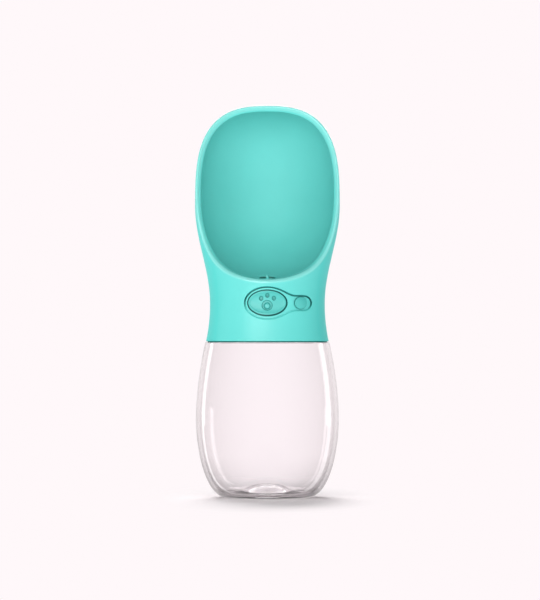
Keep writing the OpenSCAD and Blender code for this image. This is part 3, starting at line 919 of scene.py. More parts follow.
@dataclass
class ScoopHead:
    """The head: skirt, neck with its keyhole recess, and the open scoop, moulded in one.

    Each row of recess_wall is a distance inside the keyhole's outline, a depth, and
    the share of the groove's depth that is added; recess_foot gives distances and
    shares of the groove left under the ledge. Columns lie front_step degrees apart
    as far as front_deg and back_step beyond it, and closer where the rim climbs
    more than climb_step from one to the next.
    """

    form: Form = FORM
    bead: float = 0.95
    bead_share: float = 0.28
    rim_back: float = 1.9
    edge_r: float = 0.35
    button_rise: float = 0.4
    button_w: float = 11.4
    button_h: float = 7.5
    recess_rim: float = 2.0
    recess_blend: float = 4.5
    ledge: float = 0.7
    groove: float = 0.9
    hole_r: float = 0.35
    seam_lip: float = 0.5
    lock_at: float = 35.5
    lock_turn: float = 4.0
    knob_r: float = 3.5
    tail_gap: float = 1.1
    tail_end: float = 1.6
    slip: float = 0.25
    stalk_r: float = 1.2
    boss_w: float = 3.3
    undercut: float = 2.4
    boss_z: float = 122.295
    climb_step: float = 1.4
    front_deg: float = 56.0
    front_step: float = 1.0
    back_step: float = 3.0
    fine_from: float = 26.0
    fine_to: float = 1.6
    bead_turn: tuple[float, float] = (8.0, 128.0)
    hole_back_y: float = -20.0
    groove_fade: tuple[float, float] = (-0.6, 0.5)
    outlet_lip: float = 0.4
    lip_room: float = 6.0
    satin_and_shade_edge: float = 0.3
    polish_and_highlight_edge: float = 0.25
    far: float = 120.0
    wall_rows: tuple[int, int, int] = (8, 32, 40)
    bowl_rows: int = 48
    under_rows: int = 14
    skirt_rows: int = 8
    hole_columns: int = 420
    slot_columns: int = 48
    recess_wall: tuple[tuple[float, float, float], ...] = (
        (-0.3, -1.0, 0.0), (-0.15, -0.02, 0.0), (-0.03, 0.05, 0.0), (0.06, 0.12, 0.08),
        (0.5, 0.0, 0.95), (0.6, 0.0, 1.0), (0.72, 0.0, 1.0), (0.8, 0.0, 0.9),
    )
    recess_foot: tuple[tuple[float, float], ...] = ((0.9, 0.5), (1.0, 0.1), (1.15, 0.0))

    @property
    def button_z(self) -> float:
        """Height of the button's middle."""
        return self.form.waist_z + self.button_rise

    @property
    def face_r(self) -> float:
        """Outer radius of the neck at the button's height."""
        return float(self.form.head_radius(self.button_z))

    def recess_edge(self, x: Array, z: Array) -> Array:
        """Distance outside the keyhole outline: an oval softly joined to a round-ended bar.

        Args:
            x: places sideways.
            z: heights.

        Returns:
            Distances.
        """
        up = z - self.button_z
        oval = oval_distance(x, up, self.button_w + self.recess_rim, self.button_h + self.recess_rim)
        tail_x = self.face_r * sin(radians(self.lock_at)) + self.tail_end
        tail = bar_distance(x, up, 0.0, tail_x, self.knob_r + self.tail_gap)
        return soft_min(oval, tail, self.recess_blend)

    def outline(self, a: Array, inside: float) -> Array:
        """Line that lies a distance inside the keyhole outline.

        Args:
            a: angles round the button's middle.
            inside: distance inside the outline.

        Returns:
            Distances from the button's middle.
        """
        reach = self.button_w + self.recess_rim + self.knob_r * 4.0
        return solve_down(
            lambda t: -self.recess_edge(t * np.cos(a), self.button_z + t * np.sin(a)) - inside,
            np.zeros(len(a)), np.full(len(a), reach), 30)

    def on_neck(self, a: Array, radius: Array, depth: Array | float) -> Array:
        """Ring round the button's middle that lies a depth under the neck's surface.

        Args:
            a: angles round the button's middle.
            radius: distances from it, as seen from the front.
            depth: depths.

        Returns:
            Positions.
        """
        x, z = radius * np.cos(a), self.button_z + radius * np.sin(a)
        r = self.form.head_radius(z) - depth
        return np.stack([x, -np.sqrt(np.maximum(r**2 - x**2, 0.0)), z], axis=-1)

    def recess_cutter(self) -> bpy.types.Object:
        """The keyhole recess and the button's opening as a closed solid.

        A steep wall, a groove at its foot that is deepest at the top, the ledge and
        the oval opening with a small round. Rings run at set distances inside the
        outline, so the wall keeps its width all the way round.

        Returns:
            The solid.
        """
        a = ring_angles(self.hole_columns)

        def oval(grow: float) -> Array:
            """Distance from the button's middle to its oval, grown by some millimetres."""
            return 1.0 / np.hypot(np.cos(a) / (self.button_w + grow), np.sin(a) / (self.button_h + grow))

        edge_up = self.outline(a, 0.0) * np.sin(a) / (self.button_h + self.recess_rim)
        groove = self.groove * ramp(np.clip(edge_up, -1.0, 1.0), *self.groove_fade)
        first, last = self.outline(a, self.recess_wall[0][0]), self.outline(a, self.recess_foot[-1][0])
        steps = [(first * t, self.recess_wall[0][1]) for t in np.linspace(0.0, 1.0, 9)[:-1]]
        for inside, base, share in self.recess_wall:
            steps.append((self.outline(a, inside), base + (self.ledge + groove) * share))
        for inside, share in self.recess_foot:
            steps.append((self.outline(a, inside), self.ledge + groove * share))
        steps.append((last + (oval(self.hole_r) - last) * 0.5, self.ledge))
        for turn in np.linspace(0.0, pi / 2.0, 6):
            grow, sink = self.hole_r * (1.0 - sin(turn)), self.hole_r * (1.0 - cos(turn))
            steps.append((oval(grow), self.ledge + sink))
        rings = [self.on_neck(a, radius, depth) for radius, depth in steps]
        for r in (oval(0.0), 0.0 * a):
            back = (r * np.cos(a), 0.0 * a + self.hole_back_y, self.button_z + r * np.sin(a))
            rings.append(np.stack(back, axis=-1))
        return tidy(ring_grid("recess_cutter", np.array(rings), Ends.OPEN))

    def slot_cutter(self) -> bpy.types.Object:
        """A round-ended slot through the neck's wall, for the stalk of the lock.

        Returns:
            The solid, whose rings shrink to a point at both ends.
        """
        half, reach = self.stalk_r + self.slip, self.form.bore_r
        turn = radians(self.lock_turn) / 2.0
        middle = radians(self.lock_at) - turn
        a = ring_angles(self.slot_columns)
        shift = np.where(np.cos(a) >= 0.0, turn, -turn) + half * np.cos(a) / reach
        rings = [
            round_axis(r, middle + shift * size, self.button_z + half * np.sin(a) * size)
            for r, size in ((reach - 2.0, 0.0), (reach - 2.0, 1.0), (reach + 6.0, 1.0), (reach + 6.0, 0.0))
        ]
        return tidy(ring_grid("slot_cutter", np.array(rings), Ends.OPEN))

    def columns(self) -> Array:
        """Angles of the columns, close together at the front and wherever the rim climbs.

        Returns:
            Angles from the front, once round.
        """
        theta = np.linspace(0.0, pi, 6001)
        climb = np.linalg.norm(np.diff(self.outer_rim(theta), axis=0), axis=1) / self.climb_step
        step = np.where(theta[1:] < radians(self.front_deg), radians(self.front_step), radians(self.back_step))
        run = np.concatenate([[0.0], np.cumsum(climb + np.diff(theta) / step)])
        half = np.interp(np.linspace(0.0, run[-1], int(run[-1])), run, theta)
        return np.concatenate([half, -half[-2:0:-1]])

    def outer_rim(self, theta: Array) -> Array:
        """Points where each column of the outer wall meets the rim, set back by the bead.

        Args:
            theta: angles of the columns.

        Returns:
            One point for each column.
        """
        f = self.form
        low, high = np.full(theta.shape, f.lip_z - self.lip_room), np.full(theta.shape, f.total_h - 1e-6)
        z = solve_down(lambda t: f.behind_rim(-f.head_radius(t) * np.cos(theta), t) - self.bead, low, high)
        return round_axis(f.head_radius(z), theta, z)

    def inner_rim(self, share: Array) -> Array:
        """Points of the scoop's inner edge, where its inside meets the back of the rim.

        Args:
            share: shares of the edge's length, from the lip to the crown.

        Returns:
            One point for each share, on the right-hand side.
        """
        f = self.form

        def middle(z: Array) -> Array:
            """Place along Y of the rim's back at a height."""
            return f.rim_y(z) + self.rim_back * np.sqrt(1.0 + f.rim_slope(z) ** 2)

        def room(z: Array) -> Array:
            """Room left inside the scoop on the rim's back."""
            return f.bowl_room(0.0 * z, middle(z), z)

        lowest = solve_down(room, np.array([f.lip_z - 3.0]), np.array([f.lip_z + 25.0]))
        highest = solve_down(lambda z: -room(z), np.array([f.scoop_z]), np.array([f.total_h - 0.5]))
        z = lowest + (highest - lowest) * (1.0 - np.cos(np.linspace(0.0, pi, 5001))) / 2.0
        y = middle(z)
        x = solve_down(lambda t: -f.bowl_room(t, y, z), np.zeros(z.shape), np.full(z.shape, self.far))
        points = np.stack([x, y, z], axis=-1)
        run = share_along(points)
        return np.stack([np.interp(share, run, points[:, k]) for k in range(3)], axis=-1)

    def rim_profile(self) -> tuple[Array, Array]:
        """Section of the rim: a bead along the outside and a straight slope into the scoop.

        Returns:
            Shares of the way from the outer to the inner edge, and how far back
            each lies behind the surface that cuts the scoop open.
        """
        turn = np.radians(np.linspace(*self.bead_turn, 11))
        across = self.bead_share * (1.0 - np.cos(turn))
        back = self.bead * (1.0 - np.sin(turn))
        slope = np.linspace(0.0, 1.0, 6)[1:-1]
        return (
            np.concatenate([across, across[-1] + (1.0 - across[-1]) * slope]),
            np.concatenate([back, back[-1] + (self.rim_back - back[-1]) * slope]),
        )

    @property
    def eye(self) -> Array:
        """Place over the outlet from which the scoop's inside is measured."""
        return np.array([0.0, -self.form.outlet_y, self.form.floor_mid_z])

    def bowl_point(self, azimuth: Array, polar: Array) -> Array:
        """Points of the scoop's inside, where lines of sight from the eye over the outlet leave its room.

        Args:
            azimuth: angles round it, from the front.
            polar: angles from straight down.

        Returns:
            One point for each pair of angles.
        """
        way = round_axis(np.sin(polar), azimuth, -np.cos(polar))
        reach = solve_down(
            lambda t: -self.form.bowl_room(*(self.eye + way * t[:, None]).T),
            np.zeros(polar.shape), np.full(polar.shape, self.far))
        return self.eye + way * reach[:, None]

    def outer_wall(self, theta: Array, rim: Array) -> list[Array]:
        """Rings of the outer wall, level as far as the lip and then in step with the rim.

        Args:
            theta: angles of the columns.
            rim: where each column meets the rim.

        Returns:
            The rings, from the seam upwards.
        """
        f = self.form
        coarse_rows, fine_rows, high_rows = self.wall_rows
        fine = np.linspace(f.lip_z - self.fine_from, f.lip_z - self.fine_to, fine_rows)
        coarse = np.linspace(f.head_z + self.edge_r, fine[0], coarse_rows)[:-1]
        levels = np.concatenate([coarse, fine])[:, None] + 0.0 * theta
        rise = np.linspace(0.0, 1.0, high_rows)[1:, None]
        z = np.concatenate([levels, fine[-1] + (rim[:, 2] - fine[-1]) * rise])
        return list(round_axis(f.head_radius(z), theta, z))

    def rim_rings(self, outer: Array, inner: Array) -> list[Array]:
        """Rings of the rounded rim: its profile carried along between two edges.

        Args:
            outer: points of its outer edge.
            inner: points of its inner edge.

        Returns:
            The rings, from outside to inside.
        """
        slope = self.form.rim_slope(outer[:, 2])
        normal = np.stack([0.0 * slope, -np.ones(len(slope)), slope], axis=-1)
        normal /= np.sqrt(1.0 + slope**2)[:, None]
        rings = []
        for across, back in zip(*self.rim_profile()):
            even = self.bead + (self.rim_back - self.bead) * across
            rings.append(outer + (inner - outer) * across + normal * (even - back))
        return [*rings, inner]

    def bowl_rings(self, inner: Array, azimuth: Array) -> list[Array]:
        """Rings of the scoop's inside, at even angles from the rim down to the outlet.

        Args:
            inner: points of the rim's inner edge.
            azimuth: their angles round the outlet.

        Returns:
            The rings.
        """
        d = inner - self.eye
        polar = np.arctan2(np.hypot(d[:, 0], d[:, 1]), -d[:, 2])

        def room(t: Array) -> Array:
            """Distance left from a point of the floor to the outlet's edge."""
            off = self.bowl_point(azimuth, t) - self.eye
            return self.form.outlet_r + self.outlet_lip - np.hypot(off[:, 0], off[:, 1])

        hole = solve_down(room, np.full(len(d), 0.005), np.full(len(d), 0.3), 24)
        shares = np.linspace(0.0, 1.0, self.bowl_rows)[1:]
        return [self.bowl_point(azimuth, polar + (hole - polar) * t) for t in shares]

    def outlet_rings(self, azimuth: Array, edge_z: Array, theta: Array) -> list[Array]:
        """Rings of the outlet, its boss and the underside of the floor.

        Args:
            azimuth: angles of the columns round the outlet.
            edge_z: heights of the outlet's edge.
            theta: angles of the columns round the head.

        Returns:
            The rings, down through the outlet and out to the head's wall.
        """
        f, r, under = self.form, self.form.outlet_r, self.boss_z
        wide, boss = r + self.undercut, r + self.boss_w
        steps = [(r + 0.1, edge_z - 0.1), (r, edge_z - 0.3), (r, edge_z - 0.5), (wide, edge_z - 0.6),
                 (wide, under + 1.0), (r, under + 0.9), (r, under), (boss, under)]
        middle = np.array([0.0, -f.outlet_y, 0.0])
        rings = [middle + round_axis(radius, azimuth, z) for radius, z in steps]
        foot, wall = rings[-1], round_axis(f.bore_r, theta, 0.0)
        for t in np.linspace(0.0, 1.0, self.under_rows):
            ring = foot * (1.0 - t) + wall * t
            ring[:, 2] = np.maximum(f.under_floor(ring[:, 0], ring[:, 1]), under + 0.01)
            rings.append(ring)
        return rings

    def skirt_rings(self, theta: Array, top: Array) -> list[Array]:
        """Rings of the neck's and skirt's inside, the lip at the seam and the rounded lower edge.

        Args:
            theta: angles of the columns.
            top: heights where the inside starts.

        Returns:
            The rings, downwards.
        """
        f, count = self.form, self.skirt_rows
        steps = [(f.bore_r, top + (f.waist_z - top) * t) for t in np.linspace(0.0, 1.0, count)[1:]]
        steps += [(float(f.head_radius(z, f.wall)), z) for z in np.linspace(f.waist_z, f.head_z, count)[1:]]
        r, low = float(f.head_radius(f.head_z)), f.head_z - self.seam_lip
        lip = ((0.0, low), (0.1, low - 0.02), (1.1, low - 0.02), (1.2, low + 0.1),
               (1.25, f.head_z - 0.05), (1.35, f.head_z))
        steps += [(r - f.wall + out, z) for out, z in lip]
        for a in np.linspace(0.0, pi / 2.0, 4)[:-1]:
            steps.append((r - self.edge_r * (1.0 - sin(a)), f.head_z + self.edge_r * (1.0 - cos(a))))
        return [round_axis(radius, theta, z) for radius, z in steps]

    def rows(self) -> Array:
        """Rings of the whole head, each a loop round it, closed from the last to the first.

        Returns:
            Rows by columns by 3 positions.
        """
        theta = self.columns()
        count = len(theta)
        half = count // 2 + 1
        side = np.where(np.arange(count) < half, 1.0, -1.0)
        outer = self.outer_rim(theta)
        share = share_along(outer[:half])
        inner = self.inner_rim(np.concatenate([share, share[-2:0:-1]])[:count])
        inner[:, 0] *= side
        d = inner - self.eye
        azimuth = np.abs(np.arctan2(d[:, 0], -d[:, 1])) * side
        rings = self.outer_wall(theta, outer) + self.rim_rings(outer, inner) + self.bowl_rings(inner, azimuth)
        rings += self.outlet_rings(azimuth, rings[-1][:, 2], theta)
        rings += self.skirt_rings(theta, rings[-1][:, 2])
        return np.array(rings)

    def build(self) -> None:
        """Makes the head, cuts the openings of button and lock, and finishes rim and scoop by face, with a
        painted highlight on the rim's bead and painted shade inside the scoop.
        """
        shell = tidy(ring_grid("scoop_head", self.rows(), Ends.JOINED))
        cut(shell, self.recess_cutter())
        cut(shell, self.slot_cutter())
        place(smooth(shell), "head", "head_teal", Finish.HEAD, "scoop_shell")
        # the rim's bead gets a lighter copy of the teal as a painted highlight, the scoop's inside a darker
        # copy as painted shade
        for finish in (Finish.RIM, Finish.BOWL):
            shell.data.materials.append(finish.material())
        x, y, z = (np.array([face.center for face in shell.data.polygons]) / MM).T
        inside = (self.form.bowl_room(x, y, z) < self.satin_and_shade_edge) & (z > self.form.lip_z - self.lip_room)
        bead = (self.form.behind_rim(y, z) < self.bead + self.polish_and_highlight_edge) & ~inside
        shell.data.polygons.foreach_set("material_index", (bead * 1 + inside * 2).astype(np.int32))


# ------------------------------------------------------------------ controls


@dataclass
class Button:
    """The oval button: a dished face with a paw print, a soft edge and a flange behind the wall."""

    head: ScoopHead = field(default_factory=ScoopHead)
    face_gap: float = 0.3
    face_t: float = 2.4
    face_rim: float = 1.4
    gap: float = 0.6
    shift: tuple[float, float] = (-0.12, 0.12)
    edge_r: float = 0.4
    dish: float = 1.0
    dish_power: float = 0.62
    flange_w: float = 0.7
    flange_h: float = 1.2
    flange_t: float = 1.4
    bevel: float = 0.2
    side_t: float = 1.35
    back: float = 27.6
    toe_r: float = 1.25
    toe_edge: float = 0.4
    toe_squash: float = 0.88
    pad_r: float = 3.1
    pad_edge: float = 0.45
    pad_squash: float = 0.97
    paw_depth: float = 0.8
    dome_r: float = 2.1
    dome_edge: float = 1.0
    dome_drop: float = 0.35
    toes: tuple[tuple[float, float], ...] = ((-3.4, 2.5), (0.1, 4.15), (3.8, 2.6))
    pad: tuple[float, float] = (0.0, -1.5)
    face_rows: tuple[int, int] = (64, 12)
    columns: int = 240
    crease_deg: float = 50.0

    def paw(self, x: Array, z: Array) -> Array:
        """Depth of the engraved paw print: three round toes, and a pad with a dome left standing in it.

        Args:
            x: places sideways on the button.
            z: places upwards on it.

        Returns:
            Depths.
        """
        toes = [
            1.0 - ramp(np.hypot(x - u, (z - v) * self.toe_squash), self.toe_r - self.toe_edge, self.toe_r)
            for u, v in self.toes
        ]
        u, v = self.pad
        pad, top = np.hypot((x - u) * self.pad_squash, z - v), np.hypot(x - u, z - v + self.dome_drop)
        pit = 1.0 - ramp(pad, self.pad_r - self.pad_edge, self.pad_r)
        dome = 1.0 - ramp(top, self.dome_r - self.dome_edge, self.dome_r)
        return self.paw_depth * np.maximum.reduce([*toes, pit - dome])

    def face(self, half_w: Array, half_h: Array, share: Array, drop: Array | float) -> Array:
        """Rings of the face: parallel to the neck, less the dish, the paw and the drop of the edge.

        Args:
            half_w: half widths of the rings.
            half_h: half heights of the rings.
            share: share of the way from the middle to the rim of the dish, 1 outside it.
            drop: how much lower each ring lies.

        Returns:
            Rows by columns by 3 positions, with heights from the button's middle.
        """
        x, z = oval_rings(half_w, half_h, ring_angles(self.columns))
        r = self.head.form.head_radius(z + self.head.button_z) - self.face_gap
        hollow = self.dish * np.maximum(1.0 - share**3.0, 0.0) ** self.dish_power
        y = -np.sqrt(r**2 - x**2) + hollow + self.paw(x, z) * (share < 1.0) + drop
        return np.stack([x, y, z], axis=-1)

    def back_rings(self) -> Array:
        """Rings of the flange behind the wall and of the hollow back.

        Returns:
            Rows by columns by 3 positions, with heights from the button's middle.
        """
        h, b = self.head, self.bevel
        edge = (h.button_w - self.gap, h.button_h - self.gap)
        flange = (h.button_w + self.flange_w, h.button_h + self.flange_h)
        small = (flange[0] - b, flange[1] - b)
        hollow = (edge[0] - self.side_t, edge[1] - self.side_t)
        bore = h.form.bore_r - h.slip
        face = h.form.waist_r - self.face_gap - self.face_t
        wrapped, flat = True, False
        steps = [
            (edge, bore, wrapped), (small, bore, wrapped), (flange, bore - b, wrapped),
            (flange, bore - self.flange_t + b, wrapped), (small, bore - self.flange_t, wrapped),
            (edge, bore - self.flange_t, wrapped), (edge, self.back, flat), (hollow, self.back, flat),
            (hollow, face, wrapped), ((0.0, 0.0), face, flat),
        ]
        rings = []
        for (half_w, half_h), r, bent in steps:
            x, z = oval_rings(np.array([half_w]), np.array([half_h]), ring_angles(self.columns))
            y = -np.sqrt(np.maximum(r**2 - x**2, 1.0)) if bent else np.full(x.shape, -r)
            rings.append(np.stack([x, y, z], axis=-1))
        return np.concatenate(rings)

    def build(self) -> None:
        """Makes the button as one closed skin."""
        w, h, e = self.head.button_w, self.head.button_h, self.edge_r
        middle, rim = self.face_rows
        share = np.concatenate([np.linspace(0.0, 0.9, middle), np.linspace(0.91, 1.0, rim)])
        turn = np.linspace(0.15, pi / 2.0, 8)
        bevel = np.linspace(self.face_rim - self.gap, e, 6)[1:]
        inset = self.gap + np.concatenate([bevel, e * (1.0 - np.sin(turn))])
        drop = np.concatenate([0.0 * bevel, e * (1.0 - np.cos(turn))])[:, None]
        points = np.concatenate([
            self.face(share * (w - self.face_rim), share * (h - self.face_rim), share[:, None], 0.0),
            self.face(w - inset, h - inset, np.ones((len(inset), 1)), drop),
            self.back_rings(),
        ])
        points += [self.shift[0], 0.0, self.head.button_z + self.shift[1]]
        piece = tidy(ring_grid("button_cap_oval", points, Ends.OPEN))
        place(smooth(piece, self.crease_deg), "button", "button_teal", Finish.BUTTON, "button_cap")


@dataclass
class Lock:
    """The slider that locks the button: a soft knob on a stalk, a shoe behind the wall and a tongue."""

    head: ScoopHead = field(default_factory=ScoopHead)
    knob_gap: float = 0.25
    knob_rise: float = 0.8
    knob_stretch: float = 1.18
    edge_r: float = 0.7
    crown: float = 0.6
    bevel: float = 0.2
    end_shrink: float = 0.86
    end_turn: float = 0.4
    columns: int = 96
    shoe_t: float = 1.8
    shoe_h: float = 4.0
    shoe_turn: float = 9.0
    arm_h: float = 2.0
    arm_turn: float = 3.0
    tongue_t: float = 2.0
    tongue_r: float = 25.46
    tongue_turn: float = 13.0

    def turned(self, side: Array, out: Array, up: Array) -> Array:
        """Turns points from the knob's own frame into the head's, by the knob's angle round the neck.

        Args:
            side: places sideways.
            out: places outwards from the axis.
            up: heights from the knob's middle.

        Returns:
            Positions.
        """
        a = radians(self.head.lock_at)
        x, y = side * cos(a) + out * sin(a), side * sin(a) - out * cos(a)
        return np.stack([x, y, up + self.head.button_z], axis=-1)

    def block(
        self, r0: float, r1: float, half_h: float, turn: float, middle: float = 0.0
    ) -> bpy.types.Object:
        """A curved block between two radii, with small bevels: an eight-sided section turned round the axis.

        Args:
            r0: inner radius.
            r1: outer radius.
            half_h: half of its height.
            turn: width round the axis, in degrees.
            middle: where its middle lies, in degrees from the knob.

        Returns:
            The new object.
        """
        b = self.bevel
        loop_r = np.array([r0 + b, r1 - b, r1, r1, r1 - b, r0 + b, r0, r0])
        loop_z = np.array([-half_h, -half_h, b - half_h, half_h - b, half_h, half_h, half_h - b, b - half_h])
        half, inner = turn / 2.0, turn / 2.0 - self.end_turn
        steps = np.concatenate([[-half], np.linspace(-inner, inner, 9), [half]])
        turns = np.radians(steps + middle)[:, None]
        shrink = np.ones((len(turns), 1))
        shrink[[0, -1]] = self.end_shrink
        mid_r = (r0 + r1) / 2.0
        r = mid_r + (loop_r - mid_r) * shrink
        rings = self.turned(r * np.sin(turns), r * np.cos(turns), loop_z * shrink)
        return ring_grid("block", rings, Ends.CAPPED)

    def knob(self) -> bpy.types.Object:
        """The knob and its stalk as rings round their axis, wider than high.

        Returns:
            The new object.
        """
        h, e = self.head, self.edge_r
        r, flat = h.knob_r, h.knob_r - e
        under, end = h.face_r - h.ledge + self.knob_gap, h.face_r - h.form.wall - 1.0
        low_top = h.face_r + self.knob_rise - self.crown
        disc = np.linspace(0.0, flat, 12)
        arc = np.linspace(0.0, pi / 2.0, 9)[1:]
        stalk = h.stalk_r
        radius = np.concatenate([disc, flat + e * np.sin(arc), [r, r - 0.2, stalk + 0.3, stalk, stalk, 0.0]])
        bulge = self.crown * (1.0 - (disc / flat) ** 2)
        out = np.concatenate([
            low_top + bulge, low_top - e + e * np.cos(arc),
            [under + 0.2, under, under, under - 0.3, end, end],
        ])
        wide = np.where(radius > stalk + 0.1, self.knob_stretch, 1.0)
        side, up = oval_rings(radius * wide, radius, ring_angles(self.columns))
        return ring_grid("knob", self.turned(side, out[:, None] + 0.0 * side, up), Ends.OPEN)

    def build(self) -> None:
        """Makes the slider from its knob, shoe, arm and tongue."""
        back = self.head.form.bore_r - self.head.slip - self.shoe_t
        tongue_in, tongue_at = self.tongue_r - self.tongue_t, (self.arm_turn - self.tongue_turn) / 2.0
        slider = join("lock_slider_knob", [
            self.knob(),
            self.block(back, back + self.shoe_t, self.shoe_h, self.shoe_turn),
            self.block(tongue_in, back + self.shoe_t / 2.0, self.arm_h, self.arm_turn),
            self.block(tongue_in, self.tongue_r, self.arm_h, self.tongue_turn, tongue_at),
        ])
        place(smooth(tidy(slider)), "lock", "button_teal", Finish.BUTTON, "lock_slider")


# ------------------------------------------------------------------- springs


@dataclass
class Spring:
    """A coil spring with closed ends, wound at its free length in its node's box."""

    node: str
    body: str
    joint: str
    axis: int
    turns: int
    wire_r: float
    travel: float
    anchor_high: bool
    columns: int = 12
    steps: int = 32

    def rings(self, centre: Array, radius: float, low: float, length: float) -> Array:
        """Rings of the wire, which climbs by its width in the first and last turn and evenly between.

        Args:
            centre: middle of the coil, in millimetres.
            radius: radius of the coil to the middle of the wire.
            low: where the coil starts along its axis.
            length: its free length.

        Returns:
            Rows by columns by 3 positions.
        """
        turn = np.linspace(0.0, self.turns, self.turns * self.steps + 1)[:, None]
        wide = 2.0 * self.wire_r
        marks = [0.0, 1.0, self.turns - 1.0, self.turns]
        climb = np.interp(turn, marks, [0.0, wide, length - 2.0 * wide, length - wide])
        section = ring_angles(self.columns)
        out = radius + self.wire_r * np.cos(section)
        first, second = (i for i in range(3) if i != self.axis)
        rings = np.empty((len(turn), self.columns, 3))
        rings[..., self.axis] = low + self.wire_r + climb + self.wire_r * np.sin(section)
        rings[..., first] = centre[first] + out * np.cos(TURN * turn)
        rings[..., second] = centre[second] + out * np.sin(TURN * turn)
        return rings

    def build(self) -> None:
        """Winds the spring in its node's box."""
        low, high = (np.array(corner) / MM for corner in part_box(self.node))
        centre, size = (low + high) / 2.0, high - low
        length, radius = float(size[self.axis]), float(size[0]) / 2.0 - self.wire_r
        rings = self.rings(centre, radius, float(low[self.axis]), length)
        piece = tidy(ring_grid(self.node + "_coil", rings, Ends.CAPPED))
        place(smooth(piece), self.body, "steel", Finish.STEEL, self.node)
        anchor = centre.copy()
        anchor[self.axis] = (high if self.anchor_high else low)[self.axis]
        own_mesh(piece)


SPRINGS = (
    Spring("button_spring", "button", "button_press", 1, 5, 0.35, 3.6, False),
    Spring("valve_spring", "valve", "valve_lift", 2, 4, 0.25, 2.2, True),
)


# -------------------------------------------------------------------- studio


class Lights(Enum):
    """What a lamp falls on: the pieces it is linked to, and whether they alone get it or all others."""

    ALL = (("bottle_clear",), "EXCLUDE")
    OBJECT = (("bottle_clear", "floor"), "EXCLUDE")
    FLOOR = (("floor",), "INCLUDE")
    BOTTLE = (("bottle_clear",), "INCLUDE")


@dataclass(frozen=True)
class Lamp:
    """A lamp: its name, and where it shines from.

    The azimuth is measured from the front, negative to the left, and both angles are in degrees.
    """

    name: str
    azimuth: float
    height: float

    def hang(self, data: bpy.types.Light, distance: float, lights: Lights) -> bpy.types.Object:
        """Adds the lamp, turned towards the origin.

        Args:
            data: the lamp's data.
            distance: how far away it stands, in metres.
            lights: what it falls on.

        Returns:
            The lamp.
        """
        a, e = radians(self.azimuth), radians(self.height)
        way = Vector((-sin(a) * cos(e), cos(a) * cos(e), -sin(e)))
        lamp = bpy.data.objects.new(self.name, data)
        lamp.rotation_euler = way.to_track_quat("-Z", "Y").to_euler()
        lamp.location = -way * distance
        bpy.context.scene.collection.objects.link(lamp)
        group = bpy.data.collections.new(self.name + "_link")
        pieces, state = lights.value
        for piece in pieces:
            group.objects.link(bpy.data.objects[piece])
        for entry in group.collection_objects:
            entry.light_linking.link_state = state
        lamp.light_linking.receiver_collection = group
        return lamp


@dataclass(frozen=True)
class Sun(Lamp):
    """A far soft light: how wide it looks, in degrees, and how bright a white card facing it gets.

    It is kept off the clear bottle, so that it leaves no patches there.
    """

    width: float
    level: float
    lights: Lights = Lights.ALL
    in_gloss: bool = True

    def on_floor(self) -> float:
        """How bright it makes a white card on the floor: the mean sine of the heights over its disc.

        Returns:
            The brightness, where 1 is white.
        """
        share, turn = np.meshgrid(np.linspace(0.01, 0.99, 50), ring_angles(72))
        heights = radians(self.height) + radians(self.width / 2.0) * np.sqrt(share) * np.cos(turn)
        return self.level * float(np.mean(np.maximum(np.sin(heights), 0.0)))

    def build(self) -> None:
        """Adds the light."""
        data = bpy.data.lights.new(self.name, "SUN")
        data.angle = radians(self.width)
        data.energy = pi * self.level
        self.hang(data, 1.0, self.lights).visible_glossy = self.in_gloss


@dataclass(frozen=True)
class Strip(Lamp):
    """A tall narrow light behind the bottle that draws a white line down its side.

    Its level is the brightness of its own surface, where 1 is white, and its sizes are in metres.
    """

    width: float
    tall: float
    level: float
    distance: float

    def build(self) -> None:
        """Adds the light."""
        data = bpy.data.lights.new(self.name, "AREA")
        data.shape = "RECTANGLE"
        data.size, data.size_y = self.width, self.tall
        data.energy = pi * self.width * self.tall * self.level
        self.hang(data, self.distance, Lights.BOTTLE)


SUNS = (
    Sun("key", -20.0, 4.0, 50.0, 0.55),
    Sun("right", 18.0, 4.0, 60.0, 0.43, in_gloss=False),
    Sun("left", -100.0, 5.0, 40.0, 0.3, Lights.OBJECT, in_gloss=False),
    Sun("top", 0.0, 88.0, 50.0, 0.06),
    Sun("back", 175.0, 30.0, 50.0, 0.7, Lights.OBJECT),
    Sun("shade", -170.0, 38.0, 36.0, 1.1, Lights.FLOOR),
    Sun("shade_front", -25.0, 50.0, 60.0, 0.3, Lights.FLOOR),
)
STRIPS = (
    Strip("strip_left", -126.0, 0.0, 0.10, 1.6, 2.5, 0.8),
    Strip("strip_right", 117.0, 0.0, 0.17, 1.6, 2.5, 0.8),
    Strip("brow", 180.0, 60.0, 1.2, 0.9, 5.0, 1.2),
)


def background_rays(tree: bpy.types.NodeTree) -> bpy.types.Node:
    """Adds nodes that are 1 for rays of the camera, of gloss and through glass, else 0.

    Args:
        tree: node tree to add to.

    Returns:
        The last node.
    """
    rays = add_node(tree, "LightPath").outputs
    gloss = add_node(tree, "Math", {0: rays["Is Camera Ray"], 1: rays["Is Glossy Ray"]}, operation="MAXIMUM")
    return add_node(tree, "Math", {0: gloss, 1: rays["Is Transmission Ray"]}, operation="MAXIMUM")


